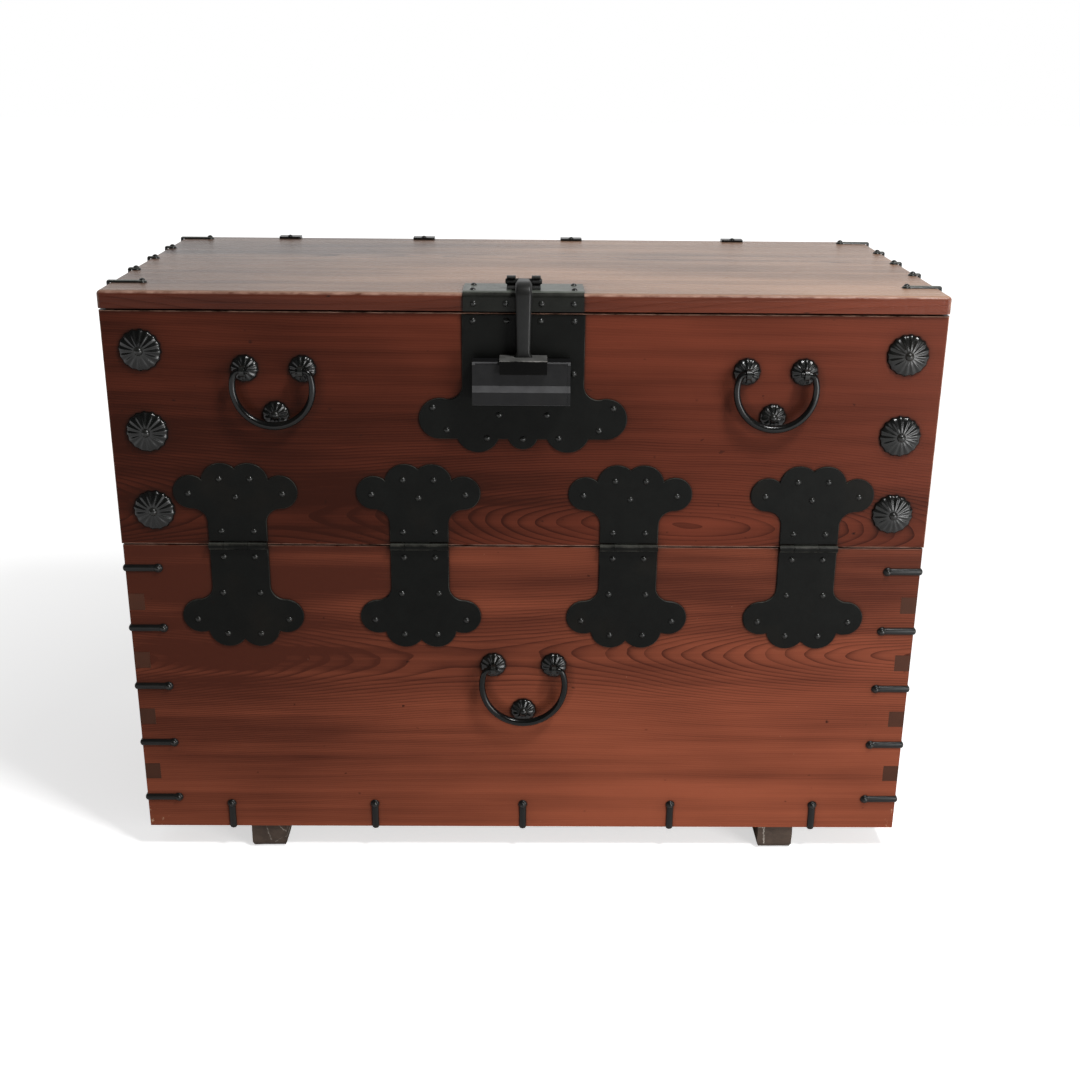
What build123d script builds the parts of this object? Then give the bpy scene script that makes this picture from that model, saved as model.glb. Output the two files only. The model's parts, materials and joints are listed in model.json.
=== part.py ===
"""A Korean bandaji: a chest whose upper front is a drop door, hinged at mid height and locked at the top.

Millimetres. X runs along the front to the right, Y from the front to the back, Z up.
The origin lies on the floor, under the middle of the closed chest with its ironwork.
"""
from build123d import *
import math
import os

# ---------------------------------------------------------------- wooden case
BODY_WIDTH = 900.0
BODY_DEPTH = 409.0
SIDE_THICKNESS = 18.0
FRONT_THICKNESS = 20.0
BACK_THICKNESS = 12.0
BOTTOM_THICKNESS = 14.0
TOP_THICKNESS = 19.0
TOP_SIDE_OVERHANG = 1.5
TOP_FRONT_OVERHANG = 4.0
TOP_BACK_OVERHANG = 2.0
LOWER_FRONT_HEIGHT = 362.0
FOOT_HEIGHT = 31.5
FOOT_WIDTH = 43.0
FOOT_INSET = 142.0
FOOT_SETBACK = 2.0
FOOT_CHAMFER = 7.0
BOARD_ARRIS = 1.6
TOP_ARRIS = 4.5
BACK_PLANK_COUNT = 3
BACK_PLANK_GAP = 0.4
CUT_PAST = 1.0
JOINERY_CLEARANCE = 0.15

# Fingers of the side boards that come through the lower front board.
FINGER_COUNT = 4
FINGER_HEIGHT = 20.0
FINGER_FIRST_ABOVE_FLOOR = 106.0
FINGER_LAST_BELOW_SEAM = 70.0

# ---------------------------------------------------------------- drop door
DOOR_HEIGHT = 263.0
DOOR_SIDE_OVERHANG = 1.5
SEAM_GAP = 1.0
DOOR_TOP_GAP = 2.5
DOOR_BACK_GAP = 0.5
BATTEN_WIDTH = 40.0
BATTEN_THICKNESS = 18.0
BATTEN_END_GAP = 7.0
BATTEN_SIDE_GAP = 3.0

# ---------------------------------------------------------------- sheet iron and nails
PLATE_THICKNESS = 2.0
PLATE_BEVEL = 0.5
NAIL_FIT = 0.05
SMALL_NAIL_HEAD_RADIUS = 3.4
SMALL_NAIL_HEAD_HEIGHT = 2.2
SMALL_NAIL_SHANK_RADIUS = 1.4
SMALL_NAIL_LENGTH = 12.0

# ---------------------------------------------------------------- hinges
HINGE_OUTER_INSET = 130.0
HINGE_INNER_X = 117.5
LEAF_NECK_WIDTH = 65.0
LEAF_LOBE_SPAN = 137.0
LEAF_NECK_CURVE = 17.0
UPPER_LEAF_REACH = 95.5
UPPER_SIDE_LOBE_HEIGHT = 62.5
UPPER_SIDE_LOBE_RADIUS = 19.0
UPPER_TIP_LOBE_RADIUS = 22.0
UPPER_TIP_LOBE_X = 15.0
LOWER_LEAF_REACH = 123.5
LOWER_SIDE_LOBE_HEIGHT = 86.0
LOWER_SIDE_LOBE_RADIUS = 20.0
LOWER_TIP_LOBE_RADIUS = 22.0
LOWER_TIP_LOBE_X = 18.0
KNUCKLE_RADIUS = 4.0
KNUCKLE_STANDOFF = 0.2
KNUCKLE_GAP = 0.4
KNUCKLE_SPLIT_RATIOS = (0.25, 0.67)
HINGE_PIN_RADIUS = 1.6
HINGE_PIN_RUNNING_FIT = 0.05
# Nails of a leaf, as (distance from its middle line, height from the hinge line).
UPPER_LEAF_NAILS = [(17, 78), (52, 61), (18, 17)]
UPPER_LEAF_CENTRE_NAIL_HEIGHT = 57.0
LOWER_LEAF_NAILS = [(17.5, 13.5), (21, 57), (52, 90), (19, 107.5)]

# ---------------------------------------------------------------- lock plate, below the door's top edge
LOCK_X = -2.0
LOCK_PLATE_WIDTH = 131.0
LOCK_PLATE_DROP = 151.5
LOCK_LOBE_SPAN = 226.0
LOCK_SIDE_LOBE_RADIUS = 22.5
LOCK_SIDE_LOBE_DROP = 114.0
LOCK_LOWER_LOBE_X = 49.0
LOCK_LOWER_LOBE_RADIUS = 24.0
LOCK_CENTRE_LOBE_RADIUS = 16.3
LOCK_CENTRE_LOBE_DROP = 148.0
LOCK_PLATE_CURVE = 16.0
# Nails of the lock plate, as (distance from its middle line, drop from the door's top edge).
LOCK_PLATE_NAILS = [(54, 8), (18, 8), (98, 103), (83, 128), (26, 111), (39, 137)]
LOCK_PLATE_EDGE_NAIL = (54.0, 65.0)
LOCK_PLATE_CENTRE_NAIL_DROP = 138.0

# ---------------------------------------------------------------- plate over the top board's edge
TOP_PLATE_WIDTH = 128.0
TOP_PLATE_DEPTH = 50.0
TOP_PLATE_FACE_NAILS = (53.0, 19.0)
TOP_PLATE_FACE_NAIL_DROP = 1.0
TOP_PLATE_FLAT_NAILS = [(54, 12), (54, 41)]

# ---------------------------------------------------------------- hasp
HASP_AXIS_ABOVE_PLATE = 8.0
HASP_AXIS_BEHIND_FRONT = 13.0
HASP_ARM_WIDTH = 14.0
HASP_ARM_THICKNESS = 10.0
HASP_ARM_STANDOFF = 14.0
HASP_BEND_RADIUS = 9.0
HASP_EDGE_ROUND = 3.0
TBAR_RADIUS = 3.0
TBAR_LENGTH = 39.0
EYE_WIDTH = 9.5
EYE_RADIUS = 6.2
EYE_SIDE_GAP = 1.5
EYE_SLOT_CLEARANCE = 0.8
EYE_SHANK_RADIUS = 2.5
HOOD_WIDTH = 50.5
HOOD_HEIGHT = 15.0
HOOD_FRONT = 34.0
HOOD_THICKNESS = 5.0
HOOD_ROOF = 3.0
HOOD_SEAT_GAP = 0.4
TONGUE_WIDTH = 8.0
TONGUE_FRONT = 24.0
TONGUE_BACK = 10.5

# ---------------------------------------------------------------- padlock, below the door's top edge
PADLOCK_X = -4.0
PADLOCK_LENGTH = 104.0
PADLOCK_TOP_DROP = 47.5
PADLOCK_HEIGHT = 45.0
PADLOCK_BACK = 5.0
PADLOCK_UPPER_FRONT = 27.0
PADLOCK_LOWER_FRONT = 33.0
PADLOCK_UPPER_HEIGHT = 25.0
PADLOCK_SLOPE_HEIGHT = 6.0
PADLOCK_END_THICKNESS = 3.0
PADLOCK_EDGE_ROUND = 0.8
PADLOCK_NOTCH_WIDTH = 30.0
PADLOCK_NOTCH_DEPTH = 11.4
BOLT_RADIUS = 2.5
BOLT_RUNNING_FIT = 0.05
BOLT_DROP = 5.5
BOLT_STANDOFF = 15.0
BOLT_TIP_GAP = 3.0
STAPLE_WIDTH = 6.0
STAPLE_SIDE_GAP = 1.5
STAPLE_RADIUS = 5.2
STAPLE_CLEARANCE = 0.4
STAPLE_SHANK_RADIUS = 2.5
KEYHOLE_WIDTH = 3.0
KEYHOLE_HEIGHT = 12.0

# ---------------------------------------------------------------- bail handles
BAIL_ROD_RADIUS = 3.75
BAIL_AXIS_STANDOFF = 14.0
BAIL_POST_WIDTH = 5.0
BAIL_STRAIGHT_MARGIN = 0.8
BAIL_STUB = 3.0
BAIL_EYE_CLEARANCE = 0.3
BAIL_EYE_WALL = 2.0
BAIL_POST_SHANK_RADIUS = 2.2
DOOR_BAIL_INSET = 180.0
DOOR_BAIL_DROP = 61.6
DOOR_BAIL_SPACING = 62.0
DOOR_BAIL_WIDTH = 93.0
DOOR_BAIL_REACH = 64.0
LOWER_BAIL_DROP = 146.5
LOWER_BAIL_SPACING = 70.0
LOWER_BAIL_WIDTH = 103.0
LOWER_BAIL_REACH = 71.5

# ---------------------------------------------------------------- flower-shaped bosses
ROSETTE_RADIUS = 16.5
ROSETTE_HEIGHT = 7.5
ROSETTE_PETALS = 12
STOP_RADIUS = 16.0
STOP_HEIGHT = 7.0
DOOR_STOP_DROP = 50.0
LOWER_STOP_DROP = 58.0
BOSS_RADIUS = 25.0
BOSS_HEIGHT = 8.0
BOSS_PETALS = 16
BOSS_INSET = 40.5
BOSS_TOP_DROP = 42.5
BOSS_BOTTOM_RISE = 40.5
FLOWER_RIM = 1.2
FLOWER_FLAT = 0.3
PETAL_WIDTH_RATIO = 1.12
BOSS_NAIL_HEAD_RADIUS = 4.8
BOSS_NAIL_HEAD_HEIGHT = 3.2
BOSS_NAIL_SHANK_RADIUS = 2.5

# ---------------------------------------------------------------- straps
STRAP_WIDTH = 9.0
STRAP_THICKNESS = 2.6
STRAP_END_RADIUS = 5.0
STRAP_NAIL_INSET = 5.0
CORNER_STRAP_COUNT = 5
CORNER_STRAP_FRONT_ARM = 42.0
CORNER_STRAP_SIDE_ARM = 34.0
CORNER_STRAP_FIRST_RISE = 39.5
CORNER_STRAP_LAST_DROP = 28.0
BOTTOM_STRAP_OUTER_INSET = 100.0
BOTTOM_STRAP_INNER_X = 178.0
BOTTOM_STRAP_HEIGHT = 36.0
BOTTOM_STRAP_UNDER_ARM = 34.0
TOP_STRAP_COUNT = 5
TOP_STRAP_FIRST_SETBACK = 52.0
TOP_STRAP_LAST_INSET = 20.0
TOP_STRAP_FLAT_ARM = 41.0
TOP_STRAP_SHORT_ARM = 12.0
TOP_STRAP_DROP = 48.0
BACK_STRAP_XS = (-312.0, -135.0, 60.0, 274.0)
BACK_STRAP_WIDTH = 28.0
BACK_STRAP_CORNER = 3.0
BACK_STRAP_FLAT_ARM = 14.0
BACK_PLANK_NAIL_INSET = 9.0
BACK_PLANK_NAIL_MARGIN = 28.0

# ---------------------------------------------------------------- worked out from the sizes above
back_ironwork = max(TOP_BACK_OVERHANG, SMALL_NAIL_HEAD_HEIGHT) + STRAP_THICKNESS
front_y = (HOOD_FRONT - BODY_DEPTH - back_ironwork) / 2
back_y = front_y + BODY_DEPTH
inner_front_y = front_y + FRONT_THICKNESS
inner_back_y = back_y - BACK_THICKNESS
half_width = BODY_WIDTH / 2
inner_half_width = half_width - SIDE_THICKNESS
foot_x = half_width - FOOT_INSET
door_half_width = half_width + DOOR_SIDE_OVERHANG
boss_x = door_half_width - BOSS_INSET
door_bail_x = half_width - DOOR_BAIL_INSET

base_z = FOOT_HEIGHT
lower_top_z = base_z + LOWER_FRONT_HEIGHT
door_bottom_z = lower_top_z + SEAM_GAP
door_top_z = door_bottom_z + DOOR_HEIGHT
top_under_z = door_top_z + DOOR_TOP_GAP
top_z = top_under_z + TOP_THICKNESS
seam_z = lower_top_z + SEAM_GAP / 2
top_front_y = front_y - TOP_FRONT_OVERHANG
top_back_y = back_y + TOP_BACK_OVERHANG
top_half_width = half_width + TOP_SIDE_OVERHANG

hinge_axis_y = front_y - KNUCKLE_RADIUS - KNUCKLE_STANDOFF
hinge_outer_x = half_width - HINGE_OUTER_INSET
hinge_xs = (-hinge_outer_x, -HINGE_INNER_X, HINGE_INNER_X, hinge_outer_x)
knuckle_clear = KNUCKLE_RADIUS + 3 * KNUCKLE_STANDOFF
plate_face_y = front_y - PLATE_THICKNESS

hasp_axis_y = front_y + HASP_AXIS_BEHIND_FRONT
hasp_axis_z = top_z + PLATE_THICKNESS + HASP_AXIS_ABOVE_PLATE
padlock_top_z = door_top_z - PADLOCK_TOP_DROP
bolt_z = padlock_top_z - BOLT_DROP
bolt_y = front_y - BOLT_STANDOFF
hood_roof_z = padlock_top_z + HOOD_SEAT_GAP

door_bail_z = door_top_z - DOOR_BAIL_DROP
lower_bail_z = seam_z - LOWER_BAIL_DROP
bail_axis_y = front_y - BAIL_AXIS_STANDOFF
bail_eye_radius = BAIL_ROD_RADIUS + BAIL_EYE_CLEARANCE

TOWARDS_FRONT = Rot(90, 0, 0)
TOWARDS_BACK = Rot(-90, 0, 0)
TOWARDS_LEFT = Rot(0, -90, 0)
TOWARDS_RIGHT = Rot(0, 90, 0)
TOWARDS_FLOOR = Rot(180, 0, 0)


def evenly(first, last, count):
    """Count places from first to last, evenly spaced."""
    return [first + (last - first) * i / (count - 1) for i in range(count)]


def mirrored(points):
    """The points of one half, on both sides of the middle line."""
    return [(side * x, z) for x, z in points for side in (-1, 1)]


def block(low, high):
    """A box between two opposite corners."""
    size = [b - a for a, b in zip(low, high)]
    middle = [(a + b) / 2 for a, b in zip(low, high)]
    return Pos(*middle) * Box(*size)


def on_front(y):
    """A drawing plane on an upright face that looks to the front, with its own x and z."""
    return Plane(origin=(0, y, 0), x_dir=(1, 0, 0), z_dir=(0, -1, 0))


def across(x):
    """A drawing plane seen from the right end of the chest, with y and z."""
    return Plane(origin=(x, 0, 0), x_dir=(0, 1, 0), z_dir=(1, 0, 0))


def rod_x(x0, x1, y, z, radius):
    """A round bar along X."""
    return Pos((x0 + x1) / 2, y, z) * Rot(0, 90, 0) * Cylinder(radius, x1 - x0)


def rod_y(x, y0, y1, z, radius):
    """A round bar from front to back."""
    return Pos(x, (y0 + y1) / 2, z) * Rot(90, 0, 0) * Cylinder(radius, y1 - y0)


def front_bore(x, z, shank_radius):
    """A cutter for a shank's hole through the door or the lower front board."""
    return rod_y(x, front_y - CUT_PAST, inner_front_y + CUT_PAST, z, shank_radius + NAIL_FIT)


def nail(head_radius, head_height, shank_radius, length):
    """A forged nail with a domed head, standing head up with the head's seat at height 0."""
    outline = [
        Line((0, -length), (0, head_height)),
        RadiusArc((0, head_height), (head_radius, 0), (head_radius**2 + head_height**2) / (2 * head_height)),
        Line((head_radius, 0), (shank_radius, 0)),
        Line((shank_radius, 0), (shank_radius, -length)),
        Line((shank_radius, -length), (0, -length)),
    ]
    return revolve(Plane.XZ * make_face(outline), Axis.Z)


small_nail = nail(SMALL_NAIL_HEAD_RADIUS, SMALL_NAIL_HEAD_HEIGHT, SMALL_NAIL_SHANK_RADIUS, SMALL_NAIL_LENGTH)
small_nail_hole = Pos(0, 0, -SMALL_NAIL_LENGTH / 2) * Cylinder(
    SMALL_NAIL_SHANK_RADIUS + NAIL_FIT, SMALL_NAIL_LENGTH + 4 * NAIL_FIT)


def put(shape, places, turn):
    """Copies of a shape at the given places, all turned the same way."""
    return [Pos(*place) * turn * shape for place in places]


def flower(radius, height, flat_radius, petals, bore_radius):
    """A hammered iron flower: a low dome with a scalloped rim, its back face at height 0."""
    slope = [
        Line((0, 0), (radius, 0)),
        Line((radius, 0), (radius, FLOWER_RIM)),
        ThreePointArc((radius, FLOWER_RIM), (0.76 * radius, 0.72 * height), (flat_radius, height)),
        Line((flat_radius, height), (0, height)),
        Line((0, height), (0, 0)),
    ]
    dome = revolve(Plane.XZ * make_face(slope), Axis.Z)
    petal_radius = radius * math.sin(math.pi / petals) * PETAL_WIDTH_RATIO
    rim = Circle(radius - petal_radius / 2)
    for i in range(petals):
        angle = 2 * math.pi * i / petals
        reach = radius - petal_radius
        rim += Pos(reach * math.cos(angle), reach * math.sin(angle)) * Circle(petal_radius)
    return (dome & extrude(rim, height)) - Cylinder(bore_radius, 4 * height)


def pierced_plate(outline, face_y, holes):
    """Sheet iron cut to an outline on an upright face, bevelled in front and pierced for its nails."""
    plate = extrude(on_front(face_y) * outline, PLATE_THICKNESS)
    front_edges = plate.faces().sort_by(Axis.Y)[0].edges()
    plate = chamfer(front_edges, PLATE_BEVEL)
    return plate - put(small_nail_hole, [(x, face_y - PLATE_THICKNESS, z) for x, z in holes], TOWARDS_FRONT)


# ================================================================ places that several pieces share
corner_strap_zs = evenly(base_z + CORNER_STRAP_FIRST_RISE, lower_top_z - CORNER_STRAP_LAST_DROP,
                         CORNER_STRAP_COUNT)
finger_zs = evenly(FINGER_FIRST_ABOVE_FLOOR, seam_z - FINGER_LAST_BELOW_SEAM, FINGER_COUNT)
bottom_outer_x = half_width - BOTTOM_STRAP_OUTER_INSET
bottom_strap_xs = (-bottom_outer_x, -BOTTOM_STRAP_INNER_X, 0.0, BOTTOM_STRAP_INNER_X, bottom_outer_x)
top_strap_ys = evenly(top_front_y + TOP_STRAP_FIRST_SETBACK, top_back_y - TOP_STRAP_LAST_INSET,
                      TOP_STRAP_COUNT)
top_strap_arms = [TOP_STRAP_FLAT_ARM] + [TOP_STRAP_SHORT_ARM] * (TOP_STRAP_COUNT - 2) + [TOP_STRAP_FLAT_ARM]
boss_zs = evenly(door_bottom_z + BOSS_BOTTOM_RISE, door_top_z - BOSS_TOP_DROP, 3)

upper_leaf_nails = mirrored(UPPER_LEAF_NAILS) + [(0, UPPER_LEAF_CENTRE_NAIL_HEIGHT)]
lower_leaf_nails = mirrored(LOWER_LEAF_NAILS)
upper_hinge_nail_xz = [(x0 + x, seam_z + z) for x0 in hinge_xs for x, z in upper_leaf_nails]
lower_hinge_nail_xz = [(x0 + x, seam_z - z) for x0 in hinge_xs for x, z in lower_leaf_nails]
lock_plate_nails = mirrored(LOCK_PLATE_NAILS) + [LOCK_PLATE_EDGE_NAIL, (0, LOCK_PLATE_CENTRE_NAIL_DROP)]
lock_nail_xz = [(LOCK_X + x, door_top_z - drop) for x, drop in lock_plate_nails]

corner_nail_front = [
    (side * (half_width - CORNER_STRAP_FRONT_ARM + STRAP_NAIL_INSET), front_y - STRAP_THICKNESS, z)
    for side in (-1, 1) for z in corner_strap_zs]
corner_nail_side_y = front_y + CORNER_STRAP_SIDE_ARM - STRAP_NAIL_INSET
bottom_nail_front = [(x, front_y - STRAP_THICKNESS, base_z + BOTTOM_STRAP_HEIGHT - STRAP_NAIL_INSET)
                     for x in bottom_strap_xs]
bottom_nail_under = [(x, front_y + BOTTOM_STRAP_UNDER_ARM - STRAP_NAIL_INSET, base_z - STRAP_THICKNESS)
                     for x in bottom_strap_xs]
top_nail_flat = [(side * (top_half_width - arm + STRAP_NAIL_INSET), y, top_z + STRAP_THICKNESS)
                 for side in (-1, 1) for y, arm in zip(top_strap_ys, top_strap_arms)]
top_nail_side_z = top_z - TOP_STRAP_DROP + STRAP_NAIL_INSET
back_nail_flat = [(x, top_back_y - BACK_STRAP_FLAT_ARM + STRAP_NAIL_INSET, top_z + STRAP_THICKNESS)
                  for x in BACK_STRAP_XS]
back_nail_down = [(x, back_y + STRAP_THICKNESS, top_nail_side_z) for x in BACK_STRAP_XS]

top_plate_face_xs = [side * x for x in TOP_PLATE_FACE_NAILS for side in (-1, 1)]
top_plate_face_z = (top_under_z + top_z) / 2 - TOP_PLATE_FACE_NAIL_DROP
top_plate_face_nails = [(LOCK_X + x, top_front_y - PLATE_THICKNESS, top_plate_face_z)
                        for x in top_plate_face_xs]
top_plate_flat_nails = [(LOCK_X + x, top_front_y + y, top_z + PLATE_THICKNESS)
                        for x, y in mirrored(TOP_PLATE_FLAT_NAILS)]

eye_x = HASP_ARM_WIDTH / 2 + EYE_SIDE_GAP + EYE_WIDTH / 2
eye_xs = (LOCK_X - eye_x, LOCK_X + eye_x)
staple_x = TONGUE_WIDTH / 2 + STAPLE_SIDE_GAP + STAPLE_WIDTH / 2
staple_xs = (LOCK_X - staple_x, LOCK_X + staple_x)

door_post_xs = [side * door_bail_x + half * DOOR_BAIL_SPACING / 2 for side in (-1, 1) for half in (-1, 1)]
lower_post_xs = [-LOWER_BAIL_SPACING / 2, LOWER_BAIL_SPACING / 2]

plank_height = (top_under_z - base_z - BACK_PLANK_GAP * (BACK_PLANK_COUNT - 1)) / BACK_PLANK_COUNT
plank_zs = [base_z + i * (plank_height + BACK_PLANK_GAP) for i in range(BACK_PLANK_COUNT)]
plank_nails = [(side * (half_width - BACK_PLANK_NAIL_INSET), back_y, z + rise)
               for z in plank_zs for rise in (BACK_PLANK_NAIL_MARGIN, plank_height - BACK_PLANK_NAIL_MARGIN)
               for side in (-1, 1)]

PARTS = {}


# ================================================================ wooden case
def make_side_board(side):
    """An end board: full depth below the seam, where its fingers join the front, and set back above it."""
    inner_x = side * inner_half_width
    outer_x = side * half_width
    x0, x1 = min(inner_x, outer_x), max(inner_x, outer_x)
    board = block((x0, inner_front_y, base_z), (x1, inner_back_y, top_under_z))
    board -= block((x0 - CUT_PAST, inner_front_y - CUT_PAST, lower_top_z),
                   (x1 + CUT_PAST, inner_front_y + DOOR_BACK_GAP, top_under_z + CUT_PAST))
    for z in finger_zs:
        half = FINGER_HEIGHT / 2
        board += block((x0, front_y, z - half), (x1, inner_front_y, z + half))
    turn = TOWARDS_LEFT if side < 0 else TOWARDS_RIGHT
    face_x = side * (half_width + STRAP_THICKNESS)
    holes = [(face_x, corner_nail_side_y, z) for z in corner_strap_zs]
    holes += [(face_x, y, top_nail_side_z) for y in top_strap_ys]
    board -= put(small_nail_hole, holes, turn)
    return board - put(small_nail_hole, [p for p in plank_nails if p[0] * side > 0], TOWARDS_BACK)


def make_lower_front():
    """The fixed front board, notched at both ends for the fingers of the end boards."""
    board = block((-half_width, front_y, base_z), (half_width, inner_front_y, lower_top_z))
    arris = board.edges().filter_by(Axis.X).sort_by(Axis.Z)[-2:].sort_by(Axis.Y)[0]
    board = fillet(arris, BOARD_ARRIS)
    for z in finger_zs:
        half = FINGER_HEIGHT / 2 + JOINERY_CLEARANCE
        reach = SIDE_THICKNESS + JOINERY_CLEARANCE
        for side in (-1, 1):
            low_x = min(side * (half_width + CUT_PAST), side * (half_width - reach))
            high_x = max(side * (half_width + CUT_PAST), side * (half_width - reach))
            board -= block((low_x, front_y - CUT_PAST, z - half),
                           (high_x, inner_front_y + CUT_PAST, z + half))
    holes = [(x, plate_face_y, z) for x, z in lower_hinge_nail_xz]
    holes += corner_nail_front + bottom_nail_front
    board -= put(small_nail_hole, holes, TOWARDS_FRONT)
    board -= [front_bore(x, lower_bail_z, BAIL_POST_SHANK_RADIUS) for x in lower_post_xs]
    return board - front_bore(0, lower_bail_z - LOWER_STOP_DROP, BOSS_NAIL_SHANK_RADIUS)


def make_bottom_board():
    """The floor of the chest, between the four walls."""
    board = block((-inner_half_width, inner_front_y, base_z),
                  (inner_half_width, inner_back_y, base_z + BOTTOM_THICKNESS))
    return board - put(small_nail_hole, bottom_nail_under, TOWARDS_FLOOR)


def make_back_plank(z):
    """One horizontal plank of the back, nailed over the ends of the side boards."""
    board = block((-half_width, inner_back_y, z), (half_width, back_y, z + plank_height))
    own_nails = [p for p in plank_nails + back_nail_down if z < p[2] < z + plank_height]
    return board - put(small_nail_hole, own_nails, TOWARDS_BACK)


def make_top_board():
    """The fixed lid, a little larger than the case, with all its upper edges eased."""
    board = block((-top_half_width, top_front_y, top_under_z), (top_half_width, top_back_y, top_z))
    upper = board.edges().filter_by(GeomType.LINE).group_by(Axis.Z)[-1]
    board = fillet(upper + board.edges().filter_by(Axis.Z), TOP_ARRIS)
    board -= put(small_nail_hole, top_nail_flat + back_nail_flat + top_plate_flat_nails, Pos(0, 0, 0))
    board -= put(small_nail_hole, top_plate_face_nails, TOWARDS_FRONT)
    return board - [Pos(x, hasp_axis_y, (top_under_z + top_z) / 2)
                    * Cylinder(EYE_SHANK_RADIUS + NAIL_FIT, 2 * TOP_THICKNESS) for x in eye_xs]


def make_foot(side):
    """A runner from front to back, its lower edges and ends cut off at a slant."""
    x = side * foot_x
    foot = block((x - FOOT_WIDTH / 2, front_y + FOOT_SETBACK, 0),
                 (x + FOOT_WIDTH / 2, back_y - FOOT_SETBACK, base_z))
    return chamfer(foot.faces().sort_by(Axis.Z)[0].edges(), FOOT_CHAMFER)


PARTS["left_side_board"] = make_side_board(-1)
PARTS["right_side_board"] = make_side_board(1)
PARTS["lower_front_board"] = make_lower_front()
PARTS["bottom_board"] = make_bottom_board()
for plank_name, plank_z in zip(("lower", "middle", "upper"), plank_zs):
    PARTS["back_plank_" + plank_name] = make_back_plank(plank_z)
PARTS["back_plank_nails"] = put(small_nail, plank_nails, TOWARDS_BACK)
PARTS["top_board"] = make_top_board()
PARTS["left_foot_runner"] = make_foot(-1)
PARTS["right_foot_runner"] = make_foot(1)


# ================================================================ drop door
def make_door_board():
    """The drop door, one thick board that covers the front edges of the side boards."""
    board = block((-door_half_width, front_y, door_bottom_z), (door_half_width, inner_front_y, door_top_z))
    board = fillet(board.faces().sort_by(Axis.Y)[0].edges(), BOARD_ARRIS)
    holes = [(x, plate_face_y, z) for x, z in upper_hinge_nail_xz + lock_nail_xz]
    board -= put(small_nail_hole, holes, TOWARDS_FRONT)
    through = [(x, door_bail_z, BAIL_POST_SHANK_RADIUS) for x in door_post_xs]
    through += [(side * door_bail_x, door_bail_z - DOOR_STOP_DROP, BOSS_NAIL_SHANK_RADIUS)
                for side in (-1, 1)]
    through += [(side * boss_x, z, BOSS_NAIL_SHANK_RADIUS) for side in (-1, 1) for z in boss_zs]
    through += [(x, bolt_z, STAPLE_SHANK_RADIUS) for x in staple_xs]
    return board - [front_bore(x, z, radius) for x, z, radius in through]


def make_batten(side):
    """A cleat inside one end of the door, held by the long nails of the three bosses."""
    outer = inner_half_width - BATTEN_SIDE_GAP
    x0, x1 = sorted((side * (outer - BATTEN_WIDTH), side * outer))
    batten = block((x0, inner_front_y, door_bottom_z + BATTEN_END_GAP),
                   (x1, inner_front_y + BATTEN_THICKNESS, door_top_z - BATTEN_END_GAP))
    batten = fillet(batten.faces().sort_by(Axis.Y)[-1].edges(), BOARD_ARRIS)
    back = inner_front_y + BATTEN_THICKNESS + CUT_PAST
    bore = BOSS_NAIL_SHANK_RADIUS + NAIL_FIT
    return batten - [rod_y(side * boss_x, inner_front_y - CUT_PAST, back, z, bore) for z in boss_zs]


boss_nail = nail(BOSS_NAIL_HEAD_RADIUS, BOSS_NAIL_HEAD_HEIGHT, BOSS_NAIL_SHANK_RADIUS,
                 BOSS_HEIGHT + FRONT_THICKNESS + BATTEN_THICKNESS)
stop_nail = nail(BOSS_NAIL_HEAD_RADIUS, BOSS_NAIL_HEAD_HEIGHT, BOSS_NAIL_SHANK_RADIUS,
                 STOP_HEIGHT + FRONT_THICKNESS)
boss = flower(BOSS_RADIUS, BOSS_HEIGHT, BOSS_NAIL_HEAD_RADIUS + FLOWER_FLAT, BOSS_PETALS,
              BOSS_NAIL_SHANK_RADIUS + NAIL_FIT)
stop_boss = flower(STOP_RADIUS, STOP_HEIGHT, BOSS_NAIL_HEAD_RADIUS + FLOWER_FLAT, ROSETTE_PETALS,
                   BOSS_NAIL_SHANK_RADIUS + NAIL_FIT)
rosette = flower(ROSETTE_RADIUS, ROSETTE_HEIGHT, BOSS_NAIL_HEAD_RADIUS + FLOWER_FLAT, ROSETTE_PETALS,
                 BAIL_POST_SHANK_RADIUS + NAIL_FIT)

PARTS["door_board"] = make_door_board()
PARTS["door_left_batten"] = make_batten(-1)
PARTS["door_right_batten"] = make_batten(1)
PARTS["left_door_bosses"] = put(boss, [(-boss_x, front_y, z) for z in boss_zs], TOWARDS_FRONT)
PARTS["right_door_bosses"] = put(boss, [(boss_x, front_y, z) for z in boss_zs], TOWARDS_FRONT)
boss_nail_places = [(side * boss_x, front_y - BOSS_HEIGHT, z) for side in (-1, 1) for z in boss_zs]
PARTS["boss_nails"] = put(boss_nail, boss_nail_places, TOWARDS_FRONT)


# ================================================================ hinges
def web(edge_x, lobe_x, lobe_y, lobe_radius, curve, side):
    """The sheet in the corner between a plate's straight edge and a lobe, with a hollow curved edge."""
    drop = math.sqrt((curve + lobe_radius) ** 2 - (lobe_x - edge_x - curve) ** 2)
    curve_y = lobe_y - drop if lobe_y > 0 else lobe_y + drop
    corner = make_face(Polyline(
        (side * edge_x, curve_y), (side * (edge_x + curve), curve_y), (side * lobe_x, lobe_y),
        (side * edge_x, lobe_y), close=True))
    return corner - Pos(side * (edge_x + curve), curve_y) * Circle(curve)


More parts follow.
